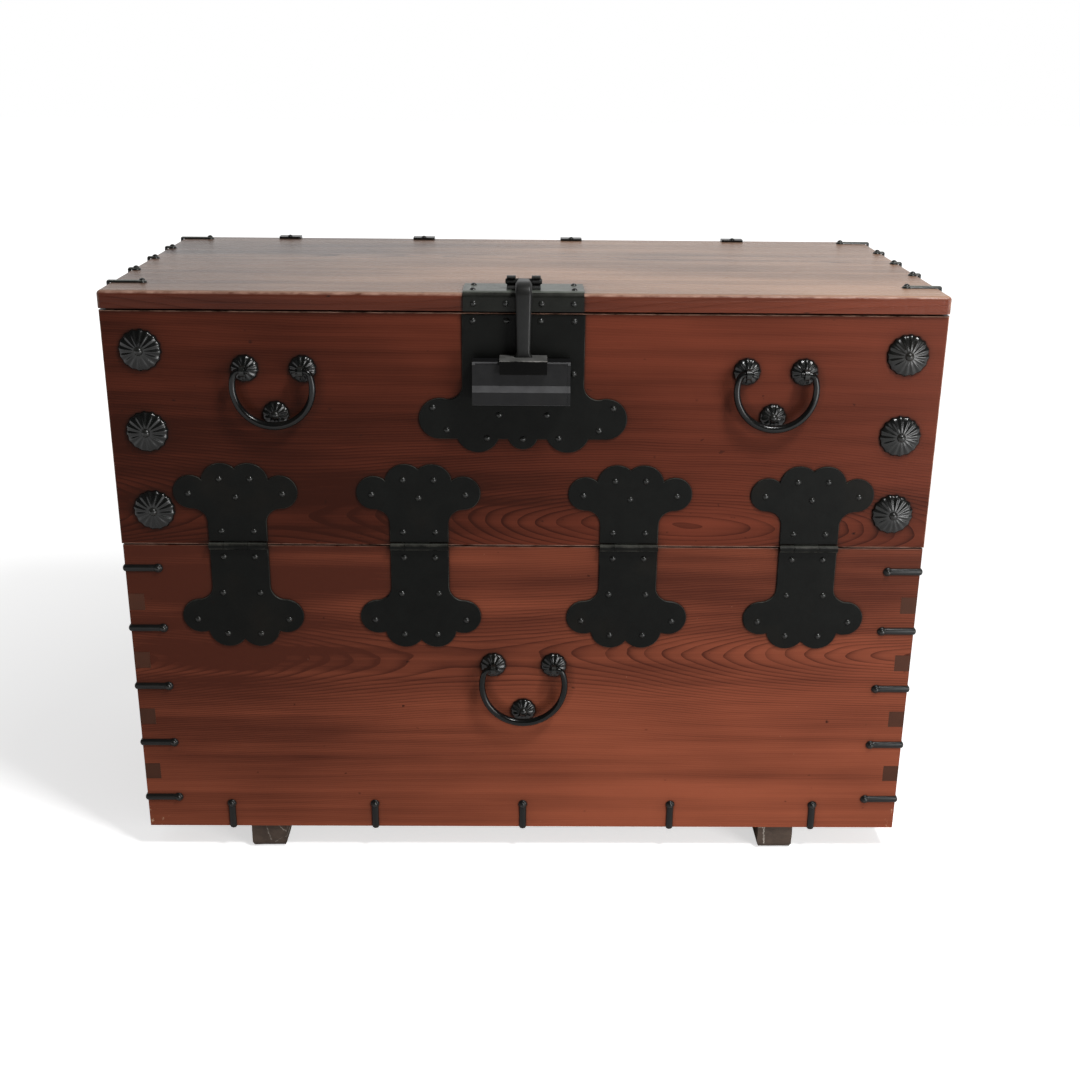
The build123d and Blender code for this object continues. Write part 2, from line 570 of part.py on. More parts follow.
def leaf_outline(reach, side_height, side_radius, tip_radius, tip_x):
    """Half a hinge, drawn upwards from the hinge line: a neck, a lobe to each side and two at the tip."""
    side_x = LEAF_LOBE_SPAN / 2 - side_radius
    tip_height = reach - tip_radius
    neck_half = LEAF_NECK_WIDTH / 2
    neck_length = side_height - knuckle_clear
    outline = Pos(0, knuckle_clear + neck_length / 2) * Rectangle(LEAF_NECK_WIDTH, neck_length)
    rise = tip_height - side_height
    outline += Pos(0, side_height + rise / 2) * Rectangle(2 * tip_x, rise)
    outline += Pos(0, side_height + side_radius / 4) * Rectangle(2 * side_x, side_radius / 2)
    for side in (-1, 1):
        outline += Pos(side * side_x, side_height) * Circle(side_radius)
        outline += Pos(side * tip_x, tip_height) * Circle(tip_radius)
        outline += web(neck_half, side_x, side_height, side_radius, LEAF_NECK_CURVE, side)
    return outline


upper_outline = leaf_outline(UPPER_LEAF_REACH, UPPER_SIDE_LOBE_HEIGHT, UPPER_SIDE_LOBE_RADIUS,
                             UPPER_TIP_LOBE_RADIUS, UPPER_TIP_LOBE_X)
lower_outline = leaf_outline(LOWER_LEAF_REACH, LOWER_SIDE_LOBE_HEIGHT, LOWER_SIDE_LOBE_RADIUS,
                             LOWER_TIP_LOBE_RADIUS, LOWER_TIP_LOBE_X)
knuckle_xs = [LEAF_NECK_WIDTH * (ratio - 0.5) for ratio in (0,) + KNUCKLE_SPLIT_RATIOS + (1,)]


def make_knuckle(x0, x1, up, bore):
    """A length of rolled barrel and the tab that joins it to its leaf, above or below the hinge line."""
    barrel = rod_x(x0, x1, hinge_axis_y, seam_z, KNUCKLE_RADIUS)
    z0, z1 = sorted((seam_z, seam_z + up * knuckle_clear))
    tab = block((x0, plate_face_y, z0), (x1, front_y, z1))
    return barrel + tab - rod_x(x0 - CUT_PAST, x1 + CUT_PAST, hinge_axis_y, seam_z, bore)


def make_upper_leaf(hinge_x):
    """The leaf on the door, with the middle knuckle, which turns on the pin."""
    place = Pos(hinge_x, seam_z)
    holes = [(hinge_x + x, seam_z + z) for x, z in upper_leaf_nails]
    leaf = pierced_plate(place * upper_outline, front_y, holes)
    x0 = hinge_x + knuckle_xs[1] + KNUCKLE_GAP / 2
    x1 = hinge_x + knuckle_xs[2] - KNUCKLE_GAP / 2
    return leaf + make_knuckle(x0, x1, 1, HINGE_PIN_RADIUS + HINGE_PIN_RUNNING_FIT)


def make_lower_leaf(hinge_x):
    """The leaf on the fixed front, with the two outer knuckles, which hold the pin."""
    place = Pos(hinge_x, seam_z) * Rot(0, 0, 180)
    holes = [(hinge_x + x, seam_z - z) for x, z in lower_leaf_nails]
    leaf = pierced_plate(place * lower_outline, front_y, holes)
    left_end = hinge_x + knuckle_xs[1] - KNUCKLE_GAP / 2
    right_start = hinge_x + knuckle_xs[2] + KNUCKLE_GAP / 2
    leaf += make_knuckle(hinge_x + knuckle_xs[0], left_end, -1, HINGE_PIN_RADIUS + NAIL_FIT)
    return leaf + make_knuckle(right_start, hinge_x + knuckle_xs[3], -1, HINGE_PIN_RADIUS + NAIL_FIT)


for number, hinge_x in enumerate(hinge_xs, start=1):
    PARTS[f"hinge_upper_leaf_{number}"] = make_upper_leaf(hinge_x)
    PARTS[f"hinge_lower_leaf_{number}"] = make_lower_leaf(hinge_x)
PARTS["hinge_pins"] = [rod_x(x + knuckle_xs[0], x + knuckle_xs[3], hinge_axis_y, seam_z, HINGE_PIN_RADIUS)
                       for x in hinge_xs]
for level, nail_xz in (("upper", upper_hinge_nail_xz), ("lower", lower_hinge_nail_xz)):
    PARTS[f"hinge_{level}_nails"] = put(small_nail, [(x, plate_face_y, z) for x, z in nail_xz], TOWARDS_FRONT)


# ================================================================ lock plate
def lock_outline():
    """The lock plate, drawn down from the middle of its top edge: straight, then spreading into lobes."""
    side_x = LOCK_LOBE_SPAN / 2 - LOCK_SIDE_LOBE_RADIUS
    lower_lobe_y = -(LOCK_PLATE_DROP - LOCK_LOWER_LOBE_RADIUS)
    side_y = -LOCK_SIDE_LOBE_DROP
    outline = Pos(0, side_y / 2) * Rectangle(LOCK_PLATE_WIDTH, -side_y)
    wing_bottom = side_y - LOCK_SIDE_LOBE_RADIUS
    outline += Pos(0, (side_y + wing_bottom) / 2) * Rectangle(2 * side_x, side_y - wing_bottom)
    centre_y = -(LOCK_CENTRE_LOBE_DROP - LOCK_CENTRE_LOBE_RADIUS)
    for side in (-1, 1):
        outline += Pos(side * side_x, side_y) * Circle(LOCK_SIDE_LOBE_RADIUS)
        outline += Pos(side * LOCK_LOWER_LOBE_X, lower_lobe_y) * Circle(LOCK_LOWER_LOBE_RADIUS)
        outline += web(LOCK_PLATE_WIDTH / 2, side_x, side_y, LOCK_SIDE_LOBE_RADIUS, LOCK_PLATE_CURVE, side)
    return outline + Pos(0, centre_y) * Circle(LOCK_CENTRE_LOBE_RADIUS)


def make_lock_plate():
    """The iron plate behind the padlock, with two holes for the staples."""
    plate = pierced_plate(Pos(LOCK_X, door_top_z - BOARD_ARRIS) * lock_outline(), front_y, lock_nail_xz)
    bore = STAPLE_SHANK_RADIUS + NAIL_FIT
    return plate - [rod_y(x, plate_face_y - CUT_PAST, front_y + CUT_PAST, bolt_z, bore) for x in staple_xs]


def make_staple(x):
    """An eye that stands out of the lock plate, its shank through the door."""
    x0 = x - STAPLE_WIDTH / 2
    x1 = x + STAPLE_WIDTH / 2
    eye = rod_x(x0, x1, bolt_y, bolt_z, STAPLE_RADIUS)
    eye += block((x0, bolt_y, bolt_z - STAPLE_RADIUS), (x1, plate_face_y, bolt_z + STAPLE_RADIUS))
    eye += rod_y(x, plate_face_y - CUT_PAST, inner_front_y, bolt_z, STAPLE_SHANK_RADIUS)
    return eye - rod_x(x0 - CUT_PAST, x1 + CUT_PAST, bolt_y, bolt_z, BOLT_RADIUS + STAPLE_CLEARANCE)


PARTS["lock_plate"] = make_lock_plate()
PARTS["lock_plate_nails"] = put(small_nail, [(x, plate_face_y, z) for x, z in lock_nail_xz], TOWARDS_FRONT)
PARTS["lock_staples"] = [make_staple(x) for x in staple_xs]


# ================================================================ plate and eyes on the top board
def make_top_plate():
    """Sheet iron bent over the front edge of the top board."""
    left = LOCK_X - TOP_PLATE_WIDTH / 2
    right = LOCK_X + TOP_PLATE_WIDTH / 2
    outer = block((left, top_front_y - PLATE_THICKNESS, top_under_z),
                  (right, top_front_y + TOP_PLATE_DEPTH, top_z + PLATE_THICKNESS))
    bend = outer.edges().filter_by(Axis.X).group_by(Axis.Z)[-1].sort_by(Axis.Y)[0]
    outer = fillet(bend, TOP_ARRIS + PLATE_THICKNESS)
    inner = block((left - CUT_PAST, top_front_y, top_under_z - CUT_PAST),
                  (right + CUT_PAST, top_back_y, top_z))
    inner = fillet(inner.edges().filter_by(Axis.X).group_by(Axis.Z)[-1].sort_by(Axis.Y)[0], TOP_ARRIS)
    plate = outer - inner
    plate -= put(small_nail_hole, top_plate_flat_nails, Pos(0, 0, 0))
    plate -= put(small_nail_hole, top_plate_face_nails, TOWARDS_FRONT)
    return plate - [Pos(x, hasp_axis_y, top_z) * Cylinder(EYE_SHANK_RADIUS + NAIL_FIT, 4 * PLATE_THICKNESS)
                    for x in eye_xs]


def make_hasp_eye(x):
    """An eye that carries one end of the hasp's cross bar, open to the front so that the bar can leave it."""
    seat = top_z + PLATE_THICKNESS
    slot = TBAR_RADIUS + EYE_SLOT_CLEARANCE
    profile = Pos(hasp_axis_y, hasp_axis_z) * Circle(EYE_RADIUS)
    profile += Pos(hasp_axis_y, (seat + hasp_axis_z) / 2) * Rectangle(2 * EYE_RADIUS, hasp_axis_z - seat)
    profile -= Pos(hasp_axis_y, hasp_axis_z) * Circle(slot)
    profile -= Pos(hasp_axis_y - EYE_RADIUS, hasp_axis_z) * Rectangle(2 * EYE_RADIUS, 2 * slot)
    eye = extrude(across(x - EYE_WIDTH / 2) * profile, EYE_WIDTH)
    shank = Cylinder(EYE_SHANK_RADIUS, seat + CUT_PAST - top_under_z)
    return eye + Pos(x, hasp_axis_y, (seat + CUT_PAST + top_under_z) / 2) * shank


PARTS["top_plate"] = make_top_plate()
PARTS["top_plate_nails"] = (put(small_nail, top_plate_flat_nails, Pos(0, 0, 0))
                            + put(small_nail, top_plate_face_nails, TOWARDS_FRONT))
PARTS["hasp_eyes"] = [make_hasp_eye(x) for x in eye_xs]


# ================================================================ hasp
def make_hasp():
    """The hasp, forged in one: cross bar, arm bent over the chest's edge, hood and the tongue behind it."""
    arm_y = front_y - HASP_ARM_STANDOFF
    path = FilletPolyline(
        (LOCK_X, hasp_axis_y, hasp_axis_z), (LOCK_X, arm_y, hasp_axis_z),
        (LOCK_X, arm_y, hood_roof_z + HOOD_ROOF / 2), radius=HASP_BEND_RADIUS)
    section = Plane(origin=path @ 0, x_dir=(1, 0, 0), z_dir=path % 0)
    arm = sweep(section * RectangleRounded(HASP_ARM_WIDTH, HASP_ARM_THICKNESS, HASP_EDGE_ROUND), path=path)
    arm += rod_x(LOCK_X - HASP_ARM_WIDTH / 2, LOCK_X + HASP_ARM_WIDTH / 2, hasp_axis_y, hasp_axis_z,
                 HASP_ARM_THICKNESS / 2)
    half_bar = TBAR_LENGTH / 2
    cross_bar = rod_x(LOCK_X - half_bar, LOCK_X + half_bar, hasp_axis_y, hasp_axis_z, TBAR_RADIUS)
    left = LOCK_X - HOOD_WIDTH / 2
    right = LOCK_X + HOOD_WIDTH / 2
    hood_top = hood_roof_z + HOOD_ROOF
    front_face = front_y - HOOD_FRONT
    hood = block((left, front_face, hood_top - HOOD_HEIGHT), (right, front_face + HOOD_THICKNESS, hood_top))
    roof_back = front_y - PADLOCK_BACK
    hood += block((left, front_face, hood_roof_z), (right, roof_back, hood_top))
    hood = fillet(hood.edges().filter_by(Axis.X).group_by(Axis.Z)[-1].sort_by(Axis.Y)[0], HOOD_ROOF / 2)
    tongue_z = padlock_top_z - PADLOCK_NOTCH_DEPTH + JOINERY_CLEARANCE
    tongue = block((LOCK_X - TONGUE_WIDTH / 2, front_y - TONGUE_FRONT, tongue_z),
                   (LOCK_X + TONGUE_WIDTH / 2, front_y - TONGUE_BACK, hood_top))
    return arm + cross_bar + hood + tongue - make_tongue_slot()


def make_tongue_slot():
    """The way for the bolt in the hasp's tongue, open to the back along the path that the hasp swings on."""
    opening = BOLT_RADIUS + STAPLE_CLEARANCE
    run_y = bolt_y - hasp_axis_y
    run_z = bolt_z - hasp_axis_z
    length = math.hypot(run_y, run_z)
    end_y = bolt_y - run_z / length * BOLT_STANDOFF
    end_z = bolt_z + run_y / length * BOLT_STANDOFF
    ends = Pos(bolt_y, bolt_z) * Circle(opening) + Pos(end_y, end_z) * Circle(opening)
    slot = make_hull(ends.edges())
    x0 = LOCK_X - TONGUE_WIDTH / 2 - STAPLE_SIDE_GAP
    return extrude(across(x0) * slot, TONGUE_WIDTH + 2 * STAPLE_SIDE_GAP)


# ================================================================ padlock
def padlock_profile():
    """The padlock seen from its end: an upright upper part, a slope, and a lower part further out."""
    upper = front_y - PADLOCK_UPPER_FRONT
    lower = front_y - PADLOCK_LOWER_FRONT
    back = front_y - PADLOCK_BACK
    slope_top = padlock_top_z - PADLOCK_UPPER_HEIGHT
    bottom = padlock_top_z - PADLOCK_HEIGHT
    outline = make_face(Polyline(
        (back, padlock_top_z), (upper, padlock_top_z), (upper, slope_top),
        (lower, slope_top - PADLOCK_SLOPE_HEIGHT), (lower, bottom), (back, bottom), close=True))
    return fillet(outline.vertices(), PADLOCK_EDGE_ROUND)


padlock_left = PADLOCK_X - PADLOCK_LENGTH / 2
padlock_right = PADLOCK_X + PADLOCK_LENGTH / 2
body_left = padlock_left + PADLOCK_END_THICKNESS
body_right = padlock_right - PADLOCK_END_THICKNESS


def make_padlock_body():
    """The lock case, notched at the top for the staples and the tongue, and bored along for the bolt."""
    body = extrude(across(body_left) * padlock_profile(), body_right - body_left)
    half = PADLOCK_NOTCH_WIDTH / 2
    body -= block((LOCK_X - half, front_y - PADLOCK_LOWER_FRONT, padlock_top_z - PADLOCK_NOTCH_DEPTH),
                  (LOCK_X + half, front_y, padlock_top_z + CUT_PAST))
    bore = BOLT_RADIUS + BOLT_RUNNING_FIT
    return body - rod_x(body_left + BOLT_TIP_GAP, body_right + CUT_PAST, bolt_y, bolt_z, bore)


def make_key_plate():
    """The fixed end plate on the left, with the keyhole."""
    plate = extrude(across(padlock_left) * padlock_profile(), PADLOCK_END_THICKNESS)
    key_y = front_y - (PADLOCK_BACK + PADLOCK_LOWER_FRONT) / 2
    key_z = padlock_top_z - PADLOCK_HEIGHT + KEYHOLE_HEIGHT
    return plate - block((padlock_left - CUT_PAST, key_y - KEYHOLE_WIDTH / 2, key_z - KEYHOLE_HEIGHT / 2),
                         (body_left + CUT_PAST, key_y + KEYHOLE_WIDTH / 2, key_z + KEYHOLE_HEIGHT / 2))


def make_padlock_bolt():
    """The sliding part: the round bolt and the end plate on the right that it is drawn out by."""
    plate = extrude(across(body_right + JOINERY_CLEARANCE) * padlock_profile(),
                    PADLOCK_END_THICKNESS - JOINERY_CLEARANCE)
    tip = body_left + 2 * BOLT_TIP_GAP
    return plate + rod_x(tip, body_right + CUT_PAST, bolt_y, bolt_z, BOLT_RADIUS)


PARTS["hasp"] = make_hasp()
PARTS["padlock_body"] = make_padlock_body()
PARTS["padlock_key_plate"] = make_key_plate()
PARTS["padlock_bolt"] = make_padlock_bolt()


# ================================================================ bail handles
def make_bail(centre_x, axis_z, spacing, width, reach):
    """A round bar bent to a horseshoe, its ends turned in through the two posts."""
    big = width / 2 - BAIL_ROD_RADIUS
    drop = reach - BAIL_ROD_RADIUS - big
    curl_x = spacing / 2 + BAIL_POST_WIDTH / 2 + BAIL_STRAIGHT_MARGIN
    curl = (big**2 - drop**2 - curl_x**2) / (2 * (big - drop))
    end_x = spacing / 2 - BAIL_POST_WIDTH / 2 - BAIL_STUB
    meet_x = big * curl_x / (big - curl)
    meet_y = -drop + big * (drop - curl) / (big - curl)
    lean = math.atan2(meet_y + curl, meet_x - curl_x) / 2 + math.pi / 4
    curl_mid = (curl_x + curl * math.cos(lean), -curl + curl * math.sin(lean))
    right = [Line((end_x, 0), (curl_x, 0)), ThreePointArc((curl_x, 0), curl_mid, (meet_x, meet_y))]
    left = [ThreePointArc((-meet_x, meet_y), (-curl_mid[0], curl_mid[1]), (-curl_x, 0)),
            Line((-curl_x, 0), (-end_x, 0))]
    bottom = ThreePointArc((meet_x, meet_y), (0, -drop - big), (-meet_x, meet_y))
    path = Pos(centre_x, bail_axis_y, axis_z) * (Plane.XZ * Wire(right + [bottom] + left))
    section = Plane(origin=path @ 0, z_dir=path % 0)
    return sweep(section * Circle(BAIL_ROD_RADIUS), path=path)


def make_bail_post(x, z):
    """An eye for the end of a bail, on a shank that passes through its rosette and the board."""
    radius = bail_eye_radius + BAIL_EYE_WALL
    x0 = x - BAIL_POST_WIDTH / 2
    x1 = x + BAIL_POST_WIDTH / 2
    post = rod_x(x0, x1, bail_axis_y, z, radius)
    post += rod_y(x, bail_axis_y + radius - BAIL_EYE_WALL / 2, inner_front_y, z, BAIL_POST_SHANK_RADIUS)
    return post - rod_x(x0 - CUT_PAST, x1 + CUT_PAST, bail_axis_y, z, bail_eye_radius)


for bail_name, bail_x in (("left_bail", -door_bail_x), ("right_bail", door_bail_x)):
    PARTS[bail_name] = make_bail(bail_x, door_bail_z, DOOR_BAIL_SPACING, DOOR_BAIL_WIDTH, DOOR_BAIL_REACH)
PARTS["lower_bail"] = make_bail(0, lower_bail_z, LOWER_BAIL_SPACING, LOWER_BAIL_WIDTH, LOWER_BAIL_REACH)
PARTS["door_bail_posts"] = [make_bail_post(x, door_bail_z) for x in door_post_xs]
PARTS["lower_bail_posts"] = [make_bail_post(x, lower_bail_z) for x in lower_post_xs]
PARTS["door_bail_rosettes"] = put(rosette, [(x, front_y, door_bail_z) for x in door_post_xs], TOWARDS_FRONT)
PARTS["lower_bail_rosettes"] = put(rosette, [(x, front_y, lower_bail_z) for x in lower_post_xs],
                                   TOWARDS_FRONT)
door_stop_places = [(side * door_bail_x, door_bail_z - DOOR_STOP_DROP) for side in (-1, 1)]
lower_stop_places = [(0, lower_bail_z - LOWER_STOP_DROP)]
for stop_name, places in (("door", door_stop_places), ("lower", lower_stop_places)):
    PARTS[stop_name + "_bail_stop"] = put(stop_boss, [(x, front_y, z) for x, z in places], TOWARDS_FRONT)
    PARTS[stop_name + "_stop_nail"] = put(stop_nail, [(x, front_y - STOP_HEIGHT, z) for x, z in places],
                                          TOWARDS_FRONT)


# ================================================================ straps
def strap_end(places, turn):
    """The round pads at a strap's ends, pierced for its nails."""
    pad = Pos(0, 0, -STRAP_THICKNESS / 2) * Cylinder(STRAP_END_RADIUS, STRAP_THICKNESS)
    return put(pad, places, turn)


def make_corner_strap(side, z):
    """An iron strap round a lower corner, from the front board to the side board."""
    half = STRAP_WIDTH / 2
    edge = side * half_width
    outer = side * (half_width + STRAP_THICKNESS)
    arm_end = side * (half_width - CORNER_STRAP_FRONT_ARM + STRAP_NAIL_INSET)
    x0, x1 = sorted((arm_end, outer))
    strap = block((x0, front_y - STRAP_THICKNESS, z - half), (x1, front_y, z + half))
    x0, x1 = sorted((edge, outer))
    strap += block((x0, front_y - STRAP_THICKNESS, z - half), (x1, corner_nail_side_y, z + half))
    front_nail = (arm_end, front_y - STRAP_THICKNESS, z)
    side_nail = (outer, corner_nail_side_y, z)
    turn = TOWARDS_LEFT if side < 0 else TOWARDS_RIGHT
    strap += strap_end([front_nail], TOWARDS_FRONT) + strap_end([side_nail], turn)
    strap -= put(small_nail_hole, [front_nail], TOWARDS_FRONT)
    return strap - put(small_nail_hole, [side_nail], turn)


def make_bottom_strap(x):
    """An iron strap from the front board round its lower edge to the bottom board."""
    half = STRAP_WIDTH / 2
    top = base_z + BOTTOM_STRAP_HEIGHT - STRAP_NAIL_INSET
    back = front_y + BOTTOM_STRAP_UNDER_ARM - STRAP_NAIL_INSET
    strap = block((x - half, front_y - STRAP_THICKNESS, base_z - STRAP_THICKNESS), (x + half, front_y, top))
    strap += block((x - half, front_y - STRAP_THICKNESS, base_z - STRAP_THICKNESS), (x + half, back, base_z))
    front_nail = (x, front_y - STRAP_THICKNESS, top)
    under_nail = (x, back, base_z - STRAP_THICKNESS)
    strap += strap_end([front_nail], TOWARDS_FRONT) + strap_end([under_nail], TOWARDS_FLOOR)
    strap -= put(small_nail_hole, [front_nail], TOWARDS_FRONT)
    return strap - put(small_nail_hole, [under_nail], TOWARDS_FLOOR)


def stepped_section(flat_arm, overhang, past_nails=0.0):
    """A strap over the top board's edge, seen along that edge: out from the case is x, up is y."""
    rise = top_z + STRAP_THICKNESS
    step = top_under_z
    end = top_z - TOP_STRAP_DROP + STRAP_NAIL_INSET - past_nails
    outer = overhang + STRAP_THICKNESS
    inner = overhang - flat_arm + STRAP_NAIL_INSET - past_nails
    return make_face(Polyline(
        (inner, top_z), (overhang, top_z), (overhang, step), (0, step - overhang), (0, end),
        (STRAP_THICKNESS, end), (STRAP_THICKNESS, step - outer), (outer, step - overhang / 2),
        (outer, rise), (inner, rise), close=True))


def make_end_strap(side, y, arm):
    """A strap from the top board down over its end to the side board."""
    section = stepped_section(arm, TOP_SIDE_OVERHANG)
    corner = (side * half_width, y + side * STRAP_WIDTH / 2, 0)
    plane = Plane(origin=corner, x_dir=(side, 0, 0), z_dir=(0, -side, 0))
    strap = extrude(plane * section, STRAP_WIDTH)
    flat_nail = (side * (top_half_width - arm + STRAP_NAIL_INSET), y, top_z + STRAP_THICKNESS)
    side_nail = (side * (half_width + STRAP_THICKNESS), y, top_nail_side_z)
    turn = TOWARDS_LEFT if side < 0 else TOWARDS_RIGHT
    strap += strap_end([flat_nail], Pos(0, 0, 0)) + strap_end([side_nail], turn)
    strap -= put(small_nail_hole, [flat_nail], Pos(0, 0, 0))
    return strap - put(small_nail_hole, [side_nail], turn)


def make_back_strap(x):
    """A broad flat strap from the top board down over its back edge to the upper back plank."""
    section = stepped_section(BACK_STRAP_FLAT_ARM, TOP_BACK_OVERHANG, past_nails=STRAP_NAIL_INSET)
    plane = Plane(origin=(x - BACK_STRAP_WIDTH / 2, back_y, 0), x_dir=(0, 1, 0), z_dir=(1, 0, 0))
    strap = extrude(plane * section, BACK_STRAP_WIDTH)
    flat_corners = strap.edges().filter_by(Axis.Z).group_by(Axis.Y)[0]
    low_corners = strap.edges().filter_by(Axis.Y).group_by(Axis.Z)[0]
    strap = fillet(flat_corners + low_corners, BACK_STRAP_CORNER)
    flat_nail = (x, top_back_y - BACK_STRAP_FLAT_ARM + STRAP_NAIL_INSET, top_z + STRAP_THICKNESS)
    back_nail = (x, back_y + STRAP_THICKNESS, top_nail_side_z)
    strap -= put(small_nail_hole, [flat_nail], Pos(0, 0, 0))
    return strap - put(small_nail_hole, [back_nail], TOWARDS_BACK)


side_face_x = half_width + STRAP_THICKNESS
left_side_nails = [(-side_face_x, corner_nail_side_y, z) for z in corner_strap_zs]
left_side_nails += [(-side_face_x, y, top_nail_side_z) for y in top_strap_ys]
right_side_nails = [(-x, y, z) for x, y, z in left_side_nails]

for side_name, side in (("left", -1), ("right", 1)):
    PARTS[side_name + "_corner_straps"] = [make_corner_strap(side, z) for z in corner_strap_zs]
    PARTS[side_name + "_top_straps"] = [make_end_strap(side, y, arm)
                                        for y, arm in zip(top_strap_ys, top_strap_arms)]
PARTS["bottom_straps"] = [make_bottom_strap(x) for x in bottom_strap_xs]
PARTS["back_straps"] = [make_back_strap(x) for x in BACK_STRAP_XS]
PARTS["front_strap_nails"] = put(small_nail, corner_nail_front + bottom_nail_front, TOWARDS_FRONT)
PARTS["side_strap_nails"] = (put(small_nail, left_side_nails, TOWARDS_LEFT)
                             + put(small_nail, right_side_nails, TOWARDS_RIGHT))
PARTS["bottom_strap_nails"] = put(small_nail, bottom_nail_under, TOWARDS_FLOOR)
PARTS["top_strap_nails"] = put(small_nail, top_nail_flat + back_nail_flat, Pos(0, 0, 0))
PARTS["back_strap_nails"] = put(small_nail, back_nail_down, TOWARDS_BACK)


# ================================================================ one file for each named piece
os.makedirs("parts", exist_ok=True)
for node, shape in PARTS.items():
    solids = [s for item in shape for s in item.solids()] if isinstance(shape, list) else shape.solids()
    export_step(Compound(solids) if len(solids) > 1 else solids[0], f"parts/{node}.step")
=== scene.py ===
import json
from math import atan2, hypot, pi, radians

import bpy
from mathutils import Matrix, Vector

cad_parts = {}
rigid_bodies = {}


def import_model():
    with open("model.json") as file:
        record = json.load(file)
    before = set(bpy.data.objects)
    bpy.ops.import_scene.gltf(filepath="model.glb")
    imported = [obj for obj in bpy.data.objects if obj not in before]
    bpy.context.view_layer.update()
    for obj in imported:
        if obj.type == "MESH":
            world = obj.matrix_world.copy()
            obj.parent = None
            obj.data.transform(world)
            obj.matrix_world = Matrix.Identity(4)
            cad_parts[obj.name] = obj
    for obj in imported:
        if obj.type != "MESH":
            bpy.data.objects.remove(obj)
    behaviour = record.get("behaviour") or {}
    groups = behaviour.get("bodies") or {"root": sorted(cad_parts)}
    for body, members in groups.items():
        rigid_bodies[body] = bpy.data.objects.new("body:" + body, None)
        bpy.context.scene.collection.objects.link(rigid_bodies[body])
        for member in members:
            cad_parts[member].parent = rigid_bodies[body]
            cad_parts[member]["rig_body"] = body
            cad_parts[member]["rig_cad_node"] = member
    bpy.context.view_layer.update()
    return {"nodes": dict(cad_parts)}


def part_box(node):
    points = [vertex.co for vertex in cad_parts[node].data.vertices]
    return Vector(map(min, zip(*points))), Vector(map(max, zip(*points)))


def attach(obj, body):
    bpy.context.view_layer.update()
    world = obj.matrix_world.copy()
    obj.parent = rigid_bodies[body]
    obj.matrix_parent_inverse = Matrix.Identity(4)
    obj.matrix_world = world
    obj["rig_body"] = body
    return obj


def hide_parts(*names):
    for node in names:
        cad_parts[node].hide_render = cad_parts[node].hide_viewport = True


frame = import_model()
nodes = frame["nodes"]

# The chest is seen from the front and a little from above, almost square on, and from close by, so the lid
# looks wider than the foot.
CAMERA_PLACE = (0.0, -1.6497, 0.933)
CAMERA_TURN = (radians(70.0), radians(-0.525), radians(-0.506))
CAMERA_LENS = 46.1
bpy.ops.object.camera_add(location=CAMERA_PLACE, rotation=CAMERA_TURN)
camera = bpy.context.object
camera.data.lens = CAMERA_LENS
camera.data.sensor_width = 36.0
bpy.context.scene.camera = camera
bpy.context.scene.view_settings.view_transform = "Standard"

# A white studio: a small soft lamp high up on the right, a wide one low on the right, and white walls behind
# the chest. The end of the room that it faces is dim, so the lacquer and the iron keep their depth.
LAMP_TARGET = Vector((0.0, 0.0, 0.35))
KEY_PLACE = (0.80, -1.05, 2.10)
KEY_SIZE = 0.36
KEY_WATTS = 32.0
FILL_PLACE = (1.50, -1.55, 0.45)
FILL_SIZE = 0.9
FILL_WATTS = 24.0
ROOM_LIGHT = 0.24
DIM_END = 0.05
WALL_SPAN = (-0.1, 0.35)
WHITE = (1.0, 1.0, 1.0, 1.0)


def soft_lamp(name, place, size, watts):
    """A square lamp turned towards the middle of the chest."""
    bpy.ops.object.light_add(type="AREA", location=place)
    lamp = bpy.context.object
    lamp.name = name
    lamp.data.size = size
    lamp.data.energy = watts
    lamp.rotation_euler = (LAMP_TARGET - Vector(place)).to_track_quat("-Z", "Y").to_euler()


soft_lamp("key_lamp", KEY_PLACE, KEY_SIZE, KEY_WATTS)
soft_lamp("fill_lamp", FILL_PLACE, FILL_SIZE, FILL_WATTS)


def add(tree, kind, inputs=None, **settings):
    """Adds a shader node. An input is given a number or colour, or the socket that feeds it."""
    new = tree.nodes.new("ShaderNode" + kind)
    for key, value in settings.items():
        setattr(new, key, value)
    for key, value in (inputs or {}).items():
        if isinstance(value, bpy.types.NodeSocket):
            tree.links.new(value, new.inputs[key])
        else:
            new.inputs[key].default_value = value
    return new


def maths(tree, operation, first, second=0.0, third=0.0, clamped=False):
    """One sum on numbers or sockets."""
    inputs = {0: first, 1: second, 2: third}
    return add(tree, "Math", inputs, operation=operation, use_clamp=clamped).outputs[0]


def blend_colour(tree, share, first, second):
    """A mix of two colours, each a socket or three numbers."""
    first, second = [(*c, 1.0) if isinstance(c, tuple) else c for c in (first, second)]
    return add(tree, "Mix", {"Factor": share, "A": first, "B": second}, data_type="RGBA").outputs["Result"]


def ramp(tree, value, start, end, low=0.0, high=1.0, easing="LINEAR"):
    """A number that goes from low to high while the value goes from start to end."""
    inputs = {"Value": value, "From Min": start, "From Max": end, "To Min": low, "To Max": high}
    return add(tree, "MapRange", inputs, interpolation_type=easing).outputs[0]


def ray_kinds(tree):
    """Whether a ray comes straight from the eye, and whether it is mirrored."""
    rays = add(tree, "LightPath").outputs
    return maths(tree, "MAXIMUM", rays["Is Camera Ray"], rays["Is Transmission Ray"]), rays["Is Glossy Ray"]


